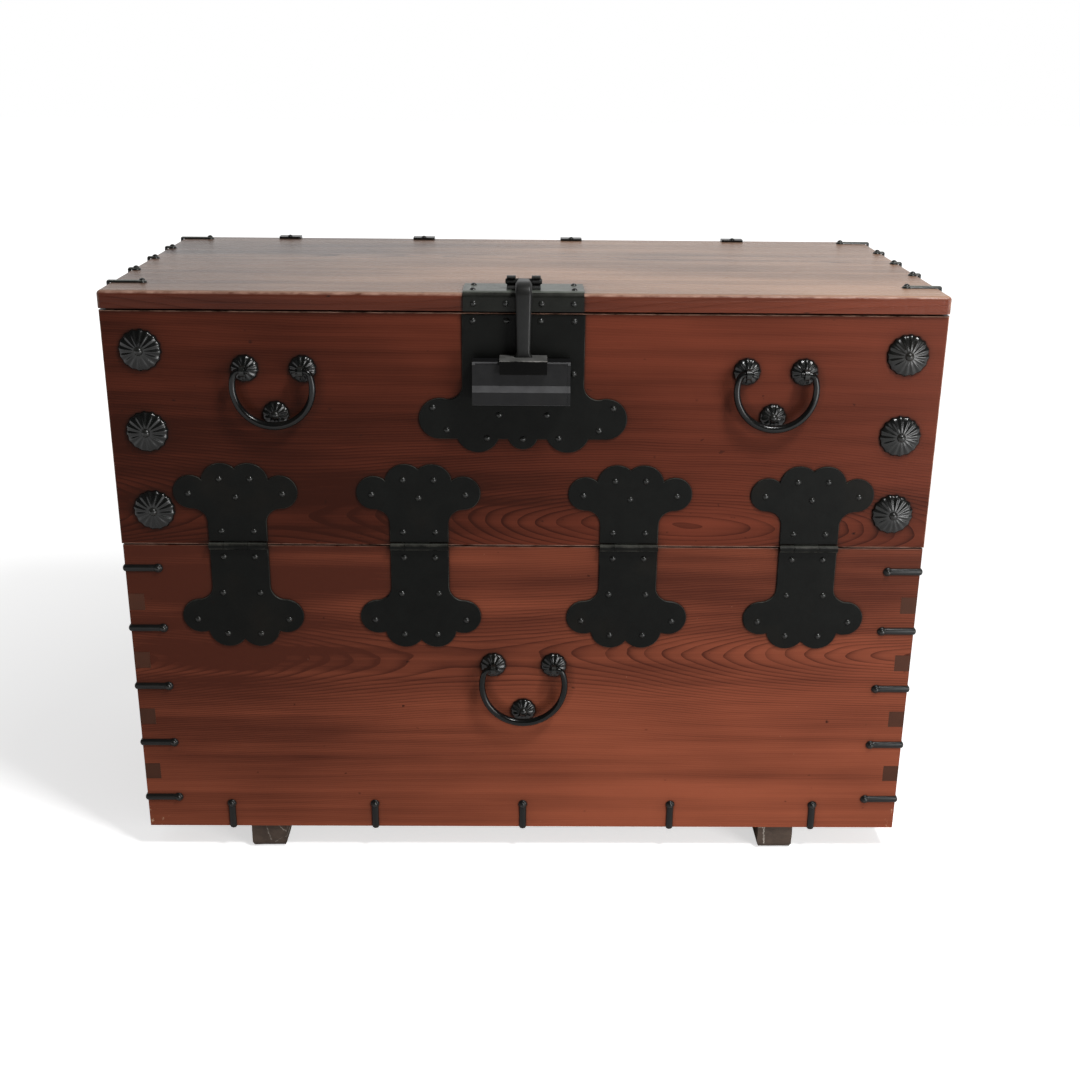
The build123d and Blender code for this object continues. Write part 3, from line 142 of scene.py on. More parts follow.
world = bpy.data.worlds.new("white_studio")
bpy.context.scene.world = world
world.use_nodes = True
tree = world.node_tree
tree.nodes.clear()
seen, mirrored = ray_kinds(tree)
way = add(tree, "SeparateXYZ", {"Vector": add(tree, "TexCoord").outputs["Generated"]})
wall = ramp(tree, way.outputs[1], *WALL_SPAN, DIM_END, 1.0)
lit = maths(tree, "MULTIPLY", mirrored, maths(tree, "SUBTRACT", wall, ROOM_LIGHT))
lit = maths(tree, "ADD", lit, ROOM_LIGHT)
walls = add(tree, "Background", {"Color": WHITE, "Strength": maths(tree, "MAXIMUM", seen, lit)})
add(tree, "OutputWorld", {"Surface": walls.outputs[0]})

# A pale floor that keeps the chest's shadow and runs out to the white walls. It gets lighter away from the
# chest, so no line shows where it meets them.
FLOOR_SIZE = 30.0
FLOOR_DROP = 0.0004
FLOOR_COLOUR = (0.86, 0.86, 0.86, 1.0)
FLOOR_GLOW_NEAR = 0.60
FLOOR_GLOW_FAR = 1.0
GLOW_START = 0.7
GLOW_END = 2.4


def new_finish(name):
    """A new finish, its shader tree and the inputs of its surface."""
    finish = bpy.data.materials.new(name)
    finish.use_nodes = True
    return finish, finish.node_tree, finish.node_tree.nodes["Principled BSDF"].inputs


bpy.ops.mesh.primitive_plane_add(size=FLOOR_SIZE, location=(0.0, 0.0, -FLOOR_DROP))
floor = bpy.context.object
floor.name = "floor"
floor_finish, tree, surface = new_finish("floor_paint")
surface["Base Color"].default_value = FLOOR_COLOUR
surface["Roughness"].default_value = 1.0
surface["Specular IOR Level"].default_value = 0.0
surface["Emission Color"].default_value = WHITE
seen, mirrored = ray_kinds(tree)
away = add(tree, "VectorMath", {0: add(tree, "TexCoord").outputs["Object"]}, operation="LENGTH")
far = ramp(tree, away.outputs["Value"], GLOW_START, GLOW_END)
glow = maths(tree, "MULTIPLY_ADD", far, FLOOR_GLOW_FAR - FLOOR_GLOW_NEAR, FLOOR_GLOW_NEAR)
glow = maths(tree, "ADD", maths(tree, "MULTIPLY", seen, glow), maths(tree, "MULTIPLY", mirrored, far))
tree.links.new(glow, surface["Emission Strength"])
floor.data.materials.append(floor_finish)


# ============================================================ lacquered boards
# The lid, the drop door, the lower front and the two end boards are zelkova, sawn flat from the log, rubbed
# with red-brown lacquer outside and left bare inside. The grain runs along each board, and where the board
# lies flat to the growth rings they open into flames.
def widest(tree, normal):
    """How squarely a face looks along one of the three axes: 1 on a flat face, less on a rounded edge."""
    split = add(tree, "SeparateXYZ", {"Vector": normal})
    best = maths(tree, "ABSOLUTE", split.outputs[0])
    for axis in (1, 2):
        best = maths(tree, "MAXIMUM", best, maths(tree, "ABSOLUTE", split.outputs[axis]))
    return best


def noise(tree, vector, waves, detail=3.0, rough=0.55, seed=0.0):
    """Soft noise, with its own number of waves to the metre along X, Y and Z. A seed moves it elsewhere."""
    start = (seed, SEED_SLOPE * seed, 0.0)
    spread = add(tree, "Mapping", {"Vector": vector, "Scale": waves, "Location": start})
    inputs = {"Vector": spread.outputs[0], "Scale": 1.0, "Detail": detail, "Roughness": rough}
    return add(tree, "TexNoise", inputs).outputs["Fac"]


def emboss(tree, surface, height, strength, depth):
    """Gives a surface a relief."""
    bump = add(tree, "Bump", {"Height": height, "Strength": strength, "Distance": depth})
    tree.links.new(bump.outputs[0], surface["Normal"])


# The turn that lays a board's length along X, and the place of that length in a normal.
GRAIN_WAYS = {"X": ((0.0, 0.0, 0.0), 0), "Y": ((0.0, 0.0, radians(90.0)), 1),
              "Z": ((0.0, radians(90.0), 0.0), 2)}

# Waves to the metre along a board, through it and across it, and the way that a seed moves them.
SEED_SLOPE = 0.37
WANDER_WAVES = (2.4, 6.0, 9.0)
RIPPLE_WAVES = (9.0, 30.0, 38.0)
FIBRE_WAVES = (6.0, 420.0, 420.0)
STREAK_WAVES = (1.1, 38.0, 46.0)
PATCH_WAVES = (2.2, 6.0, 7.0)
CHATTER_WAVES = (170.0, 4.0, 4.0)
DENT_WAVES = (70.0, 90.0, 110.0)
RUB_WAVES = (60.0, 90.0, 90.0)
FLAKE_WAVES = (240.0, 200.0, 110.0)

# The log: how far its heart strays, how wide a year is, and between which radii its rings fade into streaks.
HEART_WANDER = 0.016
HEART_SWAY = 0.012
HEART_RIPPLE = 0.0034
YEAR_WIDTH = 0.0026
YEAR_RIPPLE = 0.8
YEAR_DARKNESS = (0.6, 0.55)
LATE_SHARPNESS = 4.0
RING_FADE = (0.06, 0.14)
RING_LEFT = 0.35

# How much each mark darkens the wood, and the sum at which a board has a middle tone.
RING_TONE = 0.62
FIBRE_TONE = 0.36
STREAK_TONE = 1.25
PATCH_TONE = 1.5
MIDDLE_TONE = 1.55

# The relief of the grain, and how its fibres change the board's roughness.
RING_RELIEF = -0.35
FIBRE_RELIEF = 0.8
GRAIN_DEPTH = 0.0005
FIBRE_ROUGHNESS = 0.14
ROUGHNESS_START = -0.05

# Which faces count as looking up, as end grain, as bare and as rounded, and how far the end grain is soaked.
UP_FROM = 0.7
END_FROM = 0.8
BARE_FROM = 0.5
FLAT_FROM = 0.99
ROUND_WOOD = 0.85
END_SOAK = 0.8

# The slope and the start of the masks for dents, for grime with painted shade, for rubbed edges with a
# painted highlight, and for chipped corners.
DENT_CUT = (11.0, -8.0)
SHADE_AND_GRIME_CUT = (-1.9, 1.9)
SHADE_AND_GRIME_REACH = 0.016
RUB_CUT = (2.6, -0.8)
CHIP_CUT = (14.0, -10.4)
CHIP_REACH = 0.050
CHIP_HELP = 0.20

END_GRAIN = (0.050, 0.024, 0.0160)
WORN_LACQUER_AND_HIGHLIGHT = (0.34, 0.20, 0.15)
CHIPPED_LACQUER = (0.38, 0.22, 0.14)
# The next colour is dirt in the dents, and painted shade near the irons.
DIRT_AND_SHADE = (0.0100, 0.0055, 0.0040)
BARE_PALE = (0.25, 0.15, 0.085)
BARE_DARK = (0.12, 0.066, 0.037)


def growth_rings(tree, board, heart, flame, tilt, seed):
    """The late wood of the log's rings on a board, and how dark it makes each ring."""
    split = add(tree, "SeparateXYZ", {"Vector": board})
    run, deep, high = split.outputs[0], split.outputs[1], split.outputs[2]
    # the heart of the log wanders along the board, and nears and leaves its face
    wander = noise(tree, board, WANDER_WAVES, detail=2.0, seed=seed)
    ripple = noise(tree, board, RIPPLE_WAVES, detail=2.0, seed=seed + 5.0)
    rise = maths(tree, "MULTIPLY_ADD", wander, HEART_WANDER, -HEART_WANDER / 2 - heart[1])
    rise = maths(tree, "ADD", rise, maths(tree, "MULTIPLY_ADD", ripple, HEART_RIPPLE, -HEART_RIPPLE / 2))
    up = maths(tree, "ADD", maths(tree, "MULTIPLY_ADD", run, tilt, high), rise)
    wave = 2.0 * pi / flame[1]
    swing = maths(tree, "SINE", maths(tree, "MULTIPLY_ADD", run, wave, -wave * flame[2]))
    depth = maths(tree, "SUBTRACT", deep, heart[0])
    depth = maths(tree, "ADD", depth, maths(tree, "MULTIPLY", swing, flame[0]))
    depth = maths(tree, "ADD", depth, maths(tree, "MULTIPLY", wander, HEART_SWAY))
    radius = maths(tree, "ADD", maths(tree, "MULTIPLY", up, up), maths(tree, "MULTIPLY", depth, depth))
    radius = maths(tree, "SQRT", radius)
    count = maths(tree, "DIVIDE", radius, YEAR_WIDTH)
    count = maths(tree, "ADD", count, maths(tree, "MULTIPLY", ripple, YEAR_RIPPLE))
    late = maths(tree, "POWER", maths(tree, "FRACT", count), LATE_SHARPNESS)
    year = add(tree, "TexWhiteNoise", {"W": maths(tree, "FLOOR", count)}, noise_dimensions="1D")
    # the rings are plain near the heart and fade into streaks away from it
    near = ramp(tree, radius, *RING_FADE, 1.0, RING_LEFT)
    rings = maths(tree, "MULTIPLY_ADD", year.outputs["Value"], *YEAR_DARKNESS)
    return late, maths(tree, "MULTIPLY", maths(tree, "MULTIPLY", rings, late), near)


def wood_finish(name, pale, dark, along="X", heart=(0.0, 0.0), flame=(0.022, 1.1, 0.22), tilt=0.0,
                shade=0.5, tone_and_light_drift=0.0, tone_and_light_span=(-0.45, 0.45), climb=0.0, gloss=0.34, shine=0.06,
                relief=0.16, chatter=0.0, wear_and_highlight=0.5, chipped=None, bare_side=None, faded_and_sheen=None, seed=0.0):
    """Wood whose grain runs along one axis. The log's heart passes at the given y and z of the turned board.

    flame is how far the heart nears and leaves the face, over what length, and where it starts. tilt is how
    much it climbs along the board. The board gets paler by drift between the two places of
    tone_and_light_span: partly its own tone and partly painted light, which falls more on its right. It gets
    darker by climb for each metre up.
    chatter is the depth of the plane's marks across the grain, wear is how far the edges are rubbed paler, as
    rubbed lacquer and as a painted highlight along the arrises, and chipped is the x and z of the two corners
    whose lacquer is chipped. bare_side is the way that the unlacquered face looks, and faded are the pale and
    dark
    colours of a face that looks up: lacquer paled by age, with a painted sheen of the bright room.
    """
    finish, tree, surface = new_finish(name)
    place = add(tree, "TexCoord")
    turn, length_way = GRAIN_WAYS[along]
    board = add(tree, "Mapping", {"Vector": place.outputs["Object"], "Rotation": turn}).outputs[0]
    split = add(tree, "SeparateXYZ", {"Vector": board})
    run, high = split.outputs[0], split.outputs[2]
    late, rings = growth_rings(tree, board, heart, flame, tilt, seed)
    fibre = noise(tree, board, FIBRE_WAVES, detail=4.0, rough=0.7, seed=seed)
    streak = noise(tree, board, STREAK_WAVES, detail=5.0, rough=0.62, seed=seed + 2.0)
    patch = noise(tree, board, PATCH_WAVES, seed=seed + 9.0)
    tone = maths(tree, "MULTIPLY_ADD", rings, RING_TONE, shade - MIDDLE_TONE)
    for mark, weight in ((fibre, FIBRE_TONE), (streak, STREAK_TONE), (patch, PATCH_TONE)):
        tone = maths(tree, "ADD", tone, maths(tree, "MULTIPLY", mark, weight))
    tone = maths(tree, "ADD", tone, maths(tree, "MULTIPLY_ADD", high, climb, -climb * heart[1]))
    # paler towards the right end: partly the board's own tone, partly painted light that falls more on that
    # side
    paler = ramp(tree, run, *tone_and_light_span, -tone_and_light_drift / 2, tone_and_light_drift / 2, easing="SMOOTHSTEP")
    tone = maths(tree, "SUBTRACT", tone, paler, clamped=True)
    wood = blend_colour(tree, tone, pale, dark)
    facing = add(tree, "SeparateXYZ", {"Vector": place.outputs["Normal"]})
    # faces that look up take paler colours: lacquer paled by age, with a painted sheen of the bright room
    if faded_and_sheen:
        upward = maths(tree, "GREATER_THAN", facing.outputs[2], UP_FROM)
        wood = blend_colour(tree, upward, wood, blend_colour(tree, tone, *faded_and_sheen))
    # the end grain drinks more lacquer and is darker
    ends = maths(tree, "GREATER_THAN", maths(tree, "ABSOLUTE", facing.outputs[length_way]), END_FROM)
    wood = blend_colour(tree, maths(tree, "MULTIPLY", ends, END_SOAK), wood, END_GRAIN)
    # small dents hold dirt, and where the irons and other parts crowd the wood, ambient occlusion darkens it:
    # painted shade that stands also for grime gathered there
    dent = noise(tree, board, DENT_WAVES, detail=2.0, seed=seed + 20.0)
    wood = blend_colour(tree, maths(tree, "MULTIPLY_ADD", dent, *DENT_CUT, clamped=True), wood, DIRT_AND_SHADE)
    open_sky = add(tree, "AmbientOcclusion", {"Distance": SHADE_AND_GRIME_REACH}, samples=8).outputs["AO"]
    wood = blend_colour(tree, maths(tree, "MULTIPLY_ADD", open_sky, *SHADE_AND_GRIME_CUT, clamped=True), wood, DIRT_AND_SHADE)
    # lacquer rubbed thin on the eased edges, made paler as a painted highlight along the arrises too
    edge = ramp(tree, widest(tree, place.outputs["Normal"]), FLAT_FROM, ROUND_WOOD)
    rub = noise(tree, board, RUB_WAVES, detail=5.0, rough=0.62, seed=seed)
    worn_and_highlit = maths(tree, "MULTIPLY", edge, maths(tree, "MULTIPLY_ADD", rub, *RUB_CUT), clamped=True)
    colour = blend_colour(tree, maths(tree, "MULTIPLY", worn_and_highlit, wear_and_highlight), wood, WORN_LACQUER_AND_HIGHLIGHT)
    if chipped:
        flake = noise(tree, board, FLAKE_WAVES, detail=4.0, rough=0.65, seed=seed + 12.0)
        across = ramp(tree, maths(tree, "ABSOLUTE", run), chipped[0] - CHIP_REACH, chipped[0])
        below = ramp(tree, high, chipped[1] + CHIP_REACH, chipped[1])
        corner = maths(tree, "MULTIPLY", maths(tree, "MULTIPLY", across, below), CHIP_HELP)
        chip = maths(tree, "MULTIPLY_ADD", maths(tree, "ADD", flake, corner), *CHIP_CUT, clamped=True)
        colour = blend_colour(tree, chip, colour, CHIPPED_LACQUER)
    if bare_side:
        within = add(tree, "VectorMath", {0: place.outputs["Normal"], 1: bare_side}, operation="DOT_PRODUCT")
        inside = maths(tree, "GREATER_THAN", within.outputs["Value"], BARE_FROM)
        colour = blend_colour(tree, inside, colour, blend_colour(tree, tone, BARE_PALE, BARE_DARK))
    tree.links.new(colour, surface["Base Color"])
    roughness = maths(tree, "MULTIPLY_ADD", fibre, FIBRE_ROUGHNESS, gloss + ROUGHNESS_START)
    tree.links.new(roughness, surface["Roughness"])
    grain = maths(tree, "MULTIPLY_ADD", late, RING_RELIEF, maths(tree, "MULTIPLY", fibre, FIBRE_RELIEF))
    if chatter:
        marks = noise(tree, board, CHATTER_WAVES, seed=seed + 15.0)
        grain = maths(tree, "MULTIPLY_ADD", marks, chatter, grain)
    emboss(tree, surface, grain, relief, GRAIN_DEPTH)
    surface["Specular IOR Level"].default_value = shine
    return finish


def finish_node(node, finish):
    """Gives a CAD piece its finish."""
    nodes[node].data.materials.clear()
    nodes[node].data.materials.append(finish)


door_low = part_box("door_board")[0]
front_low, front_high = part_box("lower_front_board")
lid_low, lid_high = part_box("top_board")
DOOR_PALE = (0.136, 0.031, 0.0158)
DOOR_DARK = (0.030, 0.0068, 0.0034)
FRONT_PALE = (0.250, 0.066, 0.0330)
FRONT_DARK = (0.062, 0.0155, 0.0085)
LID_PALE = (0.132, 0.0310, 0.0155)
LID_DARK = (0.033, 0.0076, 0.0040)
# The lid's top takes paler colours: lacquer paled by age, with a painted sheen of the bright room.
LID_FADED_AND_SHEEN = ((0.390, 0.230, 0.1500), (0.040, 0.014, 0.0090))
END_BOARD_PALE = (0.16, 0.042, 0.021)
END_BOARD_DARK = (0.040, 0.0115, 0.0068)
INWARDS = (0.0, 1.0, 0.0)
DOWNWARDS = (0.0, 0.0, -1.0)
finish_node("door_board", wood_finish("door_lacquer", DOOR_PALE, DOOR_DARK,
                                      heart=(door_low.y + 0.05, door_low.z + 0.03),
                                      flame=(0.02, 0.9, -0.05), tilt=0.03, shade=0.53, tone_and_light_drift=0.50,
                                      tone_and_light_span=(-0.20, 0.22), wear_and_highlight=1.5, bare_side=INWARDS, seed=0.7))
finish_node("lower_front_board", wood_finish("front_lacquer", FRONT_PALE, FRONT_DARK,
                                             heart=(front_low.y + 0.045, front_low.z + 0.225), tilt=-0.012,
                                             shade=0.62, tone_and_light_drift=0.30, climb=1.6, wear_and_highlight=0.3,
                                             chipped=(front_high.x, front_low.z), bare_side=INWARDS,
                                             seed=2.3))
finish_node("top_board", wood_finish("lid_lacquer", LID_PALE, LID_DARK, heart=(0.06, lid_high.z - 0.09),
                                     flame=(0.01, 1.3, 0.1), tone_and_light_drift=0.62, tone_and_light_span=(-0.45, 0.15),
                                     gloss=0.26, shine=0.14, relief=0.8, chatter=0.5, wear_and_highlight=1.2,
                                     bare_side=DOWNWARDS, faded_and_sheen=LID_FADED_AND_SHEEN, seed=4.1))
for node, inwards in (("left_side_board", (1.0, 0.0, 0.0)), ("right_side_board", (-1.0, 0.0, 0.0))):
    finish_node(node, wood_finish(node + "_lacquer", END_BOARD_PALE, END_BOARD_DARK, along="Y",
                                  heart=(0.0, 0.30), bare_side=inwards, seed=5.0))


# ============================================================ inner boards
# The back planks, the floor and the cleats inside the door are plain planed wood, darkened by age and never
# lacquered. The back is nailed on, and the cleats hang on the bosses' long nails.
PLAIN_PALE = (0.25, 0.15, 0.085)
PLAIN_DARK = (0.10, 0.055, 0.031)
for number, node in enumerate(("back_plank_lower", "back_plank_middle", "back_plank_upper", "bottom_board")):
    low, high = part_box(node)
    finish_node(node, wood_finish(node + "_wood", PLAIN_PALE, PLAIN_DARK,
                                  heart=((low.y + high.y) / 2 - 0.05, (low.z + high.z) / 2),
                                  flame=(0.018, 1.2, 0.31 * number - 0.34), gloss=0.6, seed=1.7 * number))
for number, node in enumerate(("door_left_batten", "door_right_batten")):
    low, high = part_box(node)
    finish_node(node, wood_finish(node + "_wood", PLAIN_PALE, PLAIN_DARK, along="Z",
                                  heart=(low.y - 0.04, 0.03 - (low.x + high.x) / 2), gloss=0.6,
                                  seed=7.0 + number))


# ============================================================ foot runners
# Two rough runners of dark wood under the case, hewn and not planed. Their lower edges are cut at a slant and
# rubbed grey by the floor.
FOOT_DARK = (0.018, 0.013, 0.011)
FOOT_PALE = (0.105, 0.074, 0.056)
DUST = (0.42, 0.38, 0.33)
FOOT_PATCH_WAVES = (40.0, 9.0, 60.0)
SCORE_WAVES = (90.0, 6.0, 90.0)
CRACK_WAVES = (23.0, 10.0, 30.0)
CRACK_START = (0.3, 0.2, 0.1)
CRACK_BEND = (0.012, 0.012, 0.012)
CRACK_CUT = (-42.0, 1.0)
DUST_CUT = (6.0, -2.6)
FOOT_ROUGHNESS = 0.8
FOOT_SHINE = 0.2
FOOT_RELIEF = 0.5
FOOT_DEPTH = 0.001
HEWN_LUMP = 0.03
FOOT_SLANT = 0.007
FOOT_CUTS = 14
FOOT_ROUGH = 0.0016


def foot_finish():
    """Bare dark wood, scored along the grain and cracked, with dust in the cracks."""
    finish, tree, surface = new_finish("foot_wood")
    place = add(tree, "TexCoord").outputs["Object"]
    patch = noise(tree, place, FOOT_PATCH_WAVES, detail=5.0, rough=0.65)
    score = noise(tree, place, SCORE_WAVES, detail=4.0, rough=0.7, seed=3.0)
    wood = blend_colour(tree, patch, FOOT_DARK, FOOT_PALE)
    bend = add(tree, "CombineXYZ", {0: patch, 2: score}).outputs[0]
    bent = add(tree, "VectorMath", {0: bend, 1: CRACK_BEND, 2: place}, operation="MULTIPLY_ADD").outputs[0]
    cells = add(tree, "Mapping", {"Vector": bent, "Scale": CRACK_WAVES, "Location": CRACK_START})
    cells = add(tree, "TexVoronoi", {"Vector": cells.outputs[0], "Scale": 1.0}, feature="DISTANCE_TO_EDGE")
    crack = maths(tree, "MULTIPLY_ADD", cells.outputs["Distance"], *CRACK_CUT, clamped=True)
    dusty = maths(tree, "MULTIPLY", crack, maths(tree, "MULTIPLY_ADD", score, *DUST_CUT, clamped=True))
    tree.links.new(blend_colour(tree, dusty, wood, DUST), surface["Base Color"])
    surface["Roughness"].default_value = FOOT_ROUGHNESS
    surface["Specular IOR Level"].default_value = FOOT_SHINE
    emboss(tree, surface, maths(tree, "ADD", patch, score), FOOT_RELIEF, FOOT_DEPTH)
    return finish


def select_faces(choose):
    """Selects the faces of the active mesh that the given test picks by their normal."""
    bpy.ops.mesh.select_all(action="DESELECT")
    bpy.ops.object.mode_set(mode="OBJECT")
    for face in bpy.context.object.data.polygons:
        face.select = choose(face.normal)
    bpy.ops.object.mode_set(mode="EDIT")


def settle(piece):
    """Puts a piece's place, turn and size into its mesh."""
    bpy.ops.object.select_all(action="DESELECT")
    bpy.context.view_layer.objects.active = piece
    piece.select_set(True)
    bpy.ops.object.transform_apply(location=True, rotation=True, scale=True)


def stand_for(piece, finish, node):
    """The piece takes the place of a CAD piece on its body, and gets its finish."""
    piece.data.materials.clear()
    piece.data.materials.append(finish)
    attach(piece, nodes[node]["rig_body"])
    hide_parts(node)


hewn = bpy.data.textures.new("hewn", "CLOUDS")
hewn.noise_scale = HEWN_LUMP
hewn.noise_depth = 3
foot_wood = foot_finish()
for node in ("left_foot_runner", "right_foot_runner"):
    low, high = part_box(node)
    bpy.ops.object.select_all(action="DESELECT")
    bpy.ops.mesh.primitive_cube_add(size=1.0, location=(low + high) / 2)
    foot = bpy.context.object
    foot.name = node.replace("runner", "hewn")
    foot.scale = high - low
    settle(foot)
    bpy.ops.object.mode_set(mode="EDIT")
    select_faces(lambda normal: normal.z < -0.9)
    bpy.ops.mesh.bevel(offset=FOOT_SLANT, segments=2)
    bpy.ops.mesh.select_all(action="SELECT")
    bpy.ops.mesh.subdivide(number_cuts=FOOT_CUTS)
    bpy.ops.object.mode_set(mode="OBJECT")
    rough = foot.modifiers.new("rough", "DISPLACE")
    rough.texture = hewn
    rough.texture_coords = "GLOBAL"
    rough.strength = FOOT_ROUGH
    rough.mid_level = 1.0
    bpy.ops.object.modifier_apply(modifier=rough.name)
    foot.location.z = low.z - min(vertex.co.z for vertex in foot.data.vertices)
    settle(foot)
    bpy.ops.object.shade_smooth_by_angle(angle=radians(35.0))
    stand_for(foot, foot_wood, node)


# ============================================================ sheet iron: hinges, lock plate, lid plate
# The plates are cut from hammered sheet, blackened with oil and lacquer. Their edges are filed round and the
# lobes catch the light. A hinge is two leaves with rolled knuckles on one pin.
SPECK_WAVES = (560.0, 560.0, 560.0)
CLOUD_WAVES = (11.0, 11.0, 11.0)
ROUND_IRON = 0.80
IRON_SPREAD = (0.55, 1.45)
RUST = (0.020, 0.014, 0.009)
RUST_CUT = (3.2, -1.75)
RUST_SHARE = 0.3
TOP_FROM = 0.8
TOP_RUB_AND_LIGHT = 1.6
SPECK_RELIEF = 0.22
HAMMER_DEPTH = 0.0014
SEAM = 0.000005
FLAT_WITHIN = radians(0.5)
SHEET_CURVE = 32.0


def iron_finish(name, colour=(0.0042, 0.0045, 0.0040), worn_and_highlit=(0.085, 0.083, 0.070), gloss=0.40, wear_and_highlight=0.5,
                patchy=(3.0, -1.1), hammer=0.2, shine=0.08, dents=55.0, grit=0.22, rubbed_and_lit_top=None):
    """Blackened iron with a hammered face, and edges rubbed by hands and painted paler as a painted highlight
    too.

    patchy is how strongly the pale edges follow the dents and how much is lost between them. hammer is the
    strength of the dents, and dents is their number to the metre. grit is how unevenly the iron shines. The
    colour given for faces that look up paints them paler: partly rubbed iron, partly a painted highlight and
    reflection of the light from above.
    """
    finish, tree, surface = new_finish(name)
    place = add(tree, "TexCoord")
    spot = place.outputs["Object"]
    patch = noise(tree, spot, (dents, dents, dents), detail=5.0, rough=0.6)
    speck = noise(tree, spot, SPECK_WAVES, rough=0.6)
    cloud = noise(tree, spot, CLOUD_WAVES, seed=7.0)
    # rounded edges are painted paler: rubbed bare, and a painted highlight where the edges catch the light
    edge = ramp(tree, widest(tree, place.outputs["Normal"]), FLAT_FROM, ROUND_IRON, 0.0, wear_and_highlight)
    mask = maths(tree, "MULTIPLY", edge, maths(tree, "MULTIPLY_ADD", patch, *patchy), clamped=True)
    body = blend_colour(tree, patch, *[tuple(share * c for c in colour) for share in IRON_SPREAD])
    rust = maths(tree, "MULTIPLY_ADD", cloud, *RUST_CUT, clamped=True)
    body = blend_colour(tree, maths(tree, "MULTIPLY", rust, RUST_SHARE), body, RUST)
    # faces that look up are painted paler: partly rubbed, partly a painted highlight and reflection of the
    # light above
    if rubbed_and_lit_top:
        facing = add(tree, "SeparateXYZ", {"Vector": place.outputs["Normal"]}).outputs[2]
        upward = maths(tree, "MULTIPLY", maths(tree, "GREATER_THAN", facing, TOP_FROM), patch)
        body = blend_colour(tree, maths(tree, "MULTIPLY", upward, TOP_RUB_AND_LIGHT, clamped=True), body, rubbed_and_lit_top)
    tree.links.new(blend_colour(tree, mask, body, worn_and_highlit), surface["Base Color"])
    tree.links.new(maths(tree, "MULTIPLY_ADD", speck, grit, gloss - grit / 2), surface["Roughness"])
    emboss(tree, surface, maths(tree, "MULTIPLY_ADD", speck, SPECK_RELIEF, patch), hammer, HAMMER_DEPTH)
    surface["Specular IOR Level"].default_value = shine
    return finish


def edit_whole():
    """Opens the active mesh for editing, with all of it selected."""
    bpy.ops.object.mode_set(mode="EDIT")
    bpy.ops.mesh.select_all(action="SELECT")


def merged_copy(node, name):
    """A copy of a CAD piece with its loose faces joined up and its flat faces whole."""
    bpy.ops.object.select_all(action="DESELECT")
    nodes[node].select_set(True)
    bpy.context.view_layer.objects.active = nodes[node]
    bpy.ops.object.duplicate()
    piece = bpy.context.object
    piece.name = name
    del piece["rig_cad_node"]
    edit_whole()
    bpy.ops.mesh.remove_doubles(threshold=SEAM)
    bpy.ops.mesh.dissolve_limited(angle_limit=FLAT_WITHIN)
    bpy.ops.object.mode_set(mode="OBJECT")
    return piece


def smooth_over(piece, angle):
    """Shades a piece smooth along its curves, with its large flat faces kept flat."""
    bpy.ops.object.shade_smooth_by_angle(angle=radians(angle))
    flat = piece.modifiers.new("flat", "WEIGHTED_NORMAL")
    flat.keep_sharp = True
    bpy.ops.object.modifier_apply(modifier=flat.name)


def wrought(node, name, finish, smooth=SHEET_CURVE):
    """A CAD piece's merged copy, smooth along its curves, in the piece's place."""
    piece = merged_copy(node, name)
    smooth_over(piece, smooth)
    stand_for(piece, finish, node)


# On the hinges the knuckles' tops are painted paler, a painted highlight along the barrels.
sheet_iron = iron_finish("sheet_iron", rubbed_and_lit_top=(0.045, 0.046, 0.040))
forged_iron = iron_finish("forged_iron", colour=(0.007, 0.0075, 0.0068), gloss=0.29, wear_and_highlight=0.1, hammer=0.08,
                          shine=0.40, dents=110.0)
HINGE_COUNT = 4
for number in range(1, HINGE_COUNT + 1):
    for level in ("upper", "lower"):
        wrought(f"hinge_{level}_leaf_{number}", f"{level}_leaf_iron_{number}", sheet_iron)
wrought("hinge_pins", "hinge_pin_iron", forged_iron)
wrought("lock_plate", "lock_plate_iron", sheet_iron)
wrought("lock_staples", "staple_iron", forged_iron)
# The lid plate's upper face is painted paler grey-green: rubbed iron and a painted reflection of the bright
# room.
lid_plate_iron = iron_finish("lid_plate_iron", colour=(0.0075, 0.0080, 0.0065), gloss=0.34, wear_and_highlight=0.3,
                             hammer=0.4, shine=0.14, rubbed_and_lit_top=(0.095, 0.105, 0.090))
wrought("top_plate", "lid_plate", lid_plate_iron)


# ============================================================ nails
# Every plate and strap is held by forged nails with low domed heads, and the back planks are nailed to the
# case. The tops of the heads are rubbed smooth and shine.
NAIL_CURVE = 50.0
for node in ("hinge_upper_nails", "hinge_lower_nails", "lock_plate_nails", "top_plate_nails",
             "back_plank_nails", "front_strap_nails", "side_strap_nails", "bottom_strap_nails",
             "top_strap_nails", "back_strap_nails", "boss_nails", "door_stop_nail", "lower_stop_nail"):
    wrought(node, node.replace("nail", "forged_nail"), forged_iron, smooth=NAIL_CURVE)


# ============================================================ flower-shaped bosses
# The bosses on the door's ends, the rosettes under the bails and the stops that the bails hang against are
# all hammered from sheet over a swage: a low dome whose petals run from the hub to a scalloped rim.

# The ridge of a petal, as shares of the flower's radius and height, from the hub to the seat.
PETAL_RIDGE = ((0.0, 0.97), (0.13, 0.97), (0.24, 0.93), (0.36, 0.97), (0.54, 0.93), (0.69, 0.82),
               (0.81, 0.65), (0.91, 0.42), (0.98, 0.20), (1.0, 0.06), (0.97, 0.0))
# The valleys between petals: from which share of the radius, how much narrower and how much lower.
VALLEYS = ((0.30, 1.0, 0.86), (0.50, 0.97, 0.76), (0.66, 0.97, 0.86), (0.86, 0.87, 0.58))
FLOWER_TURN = radians(9.0)


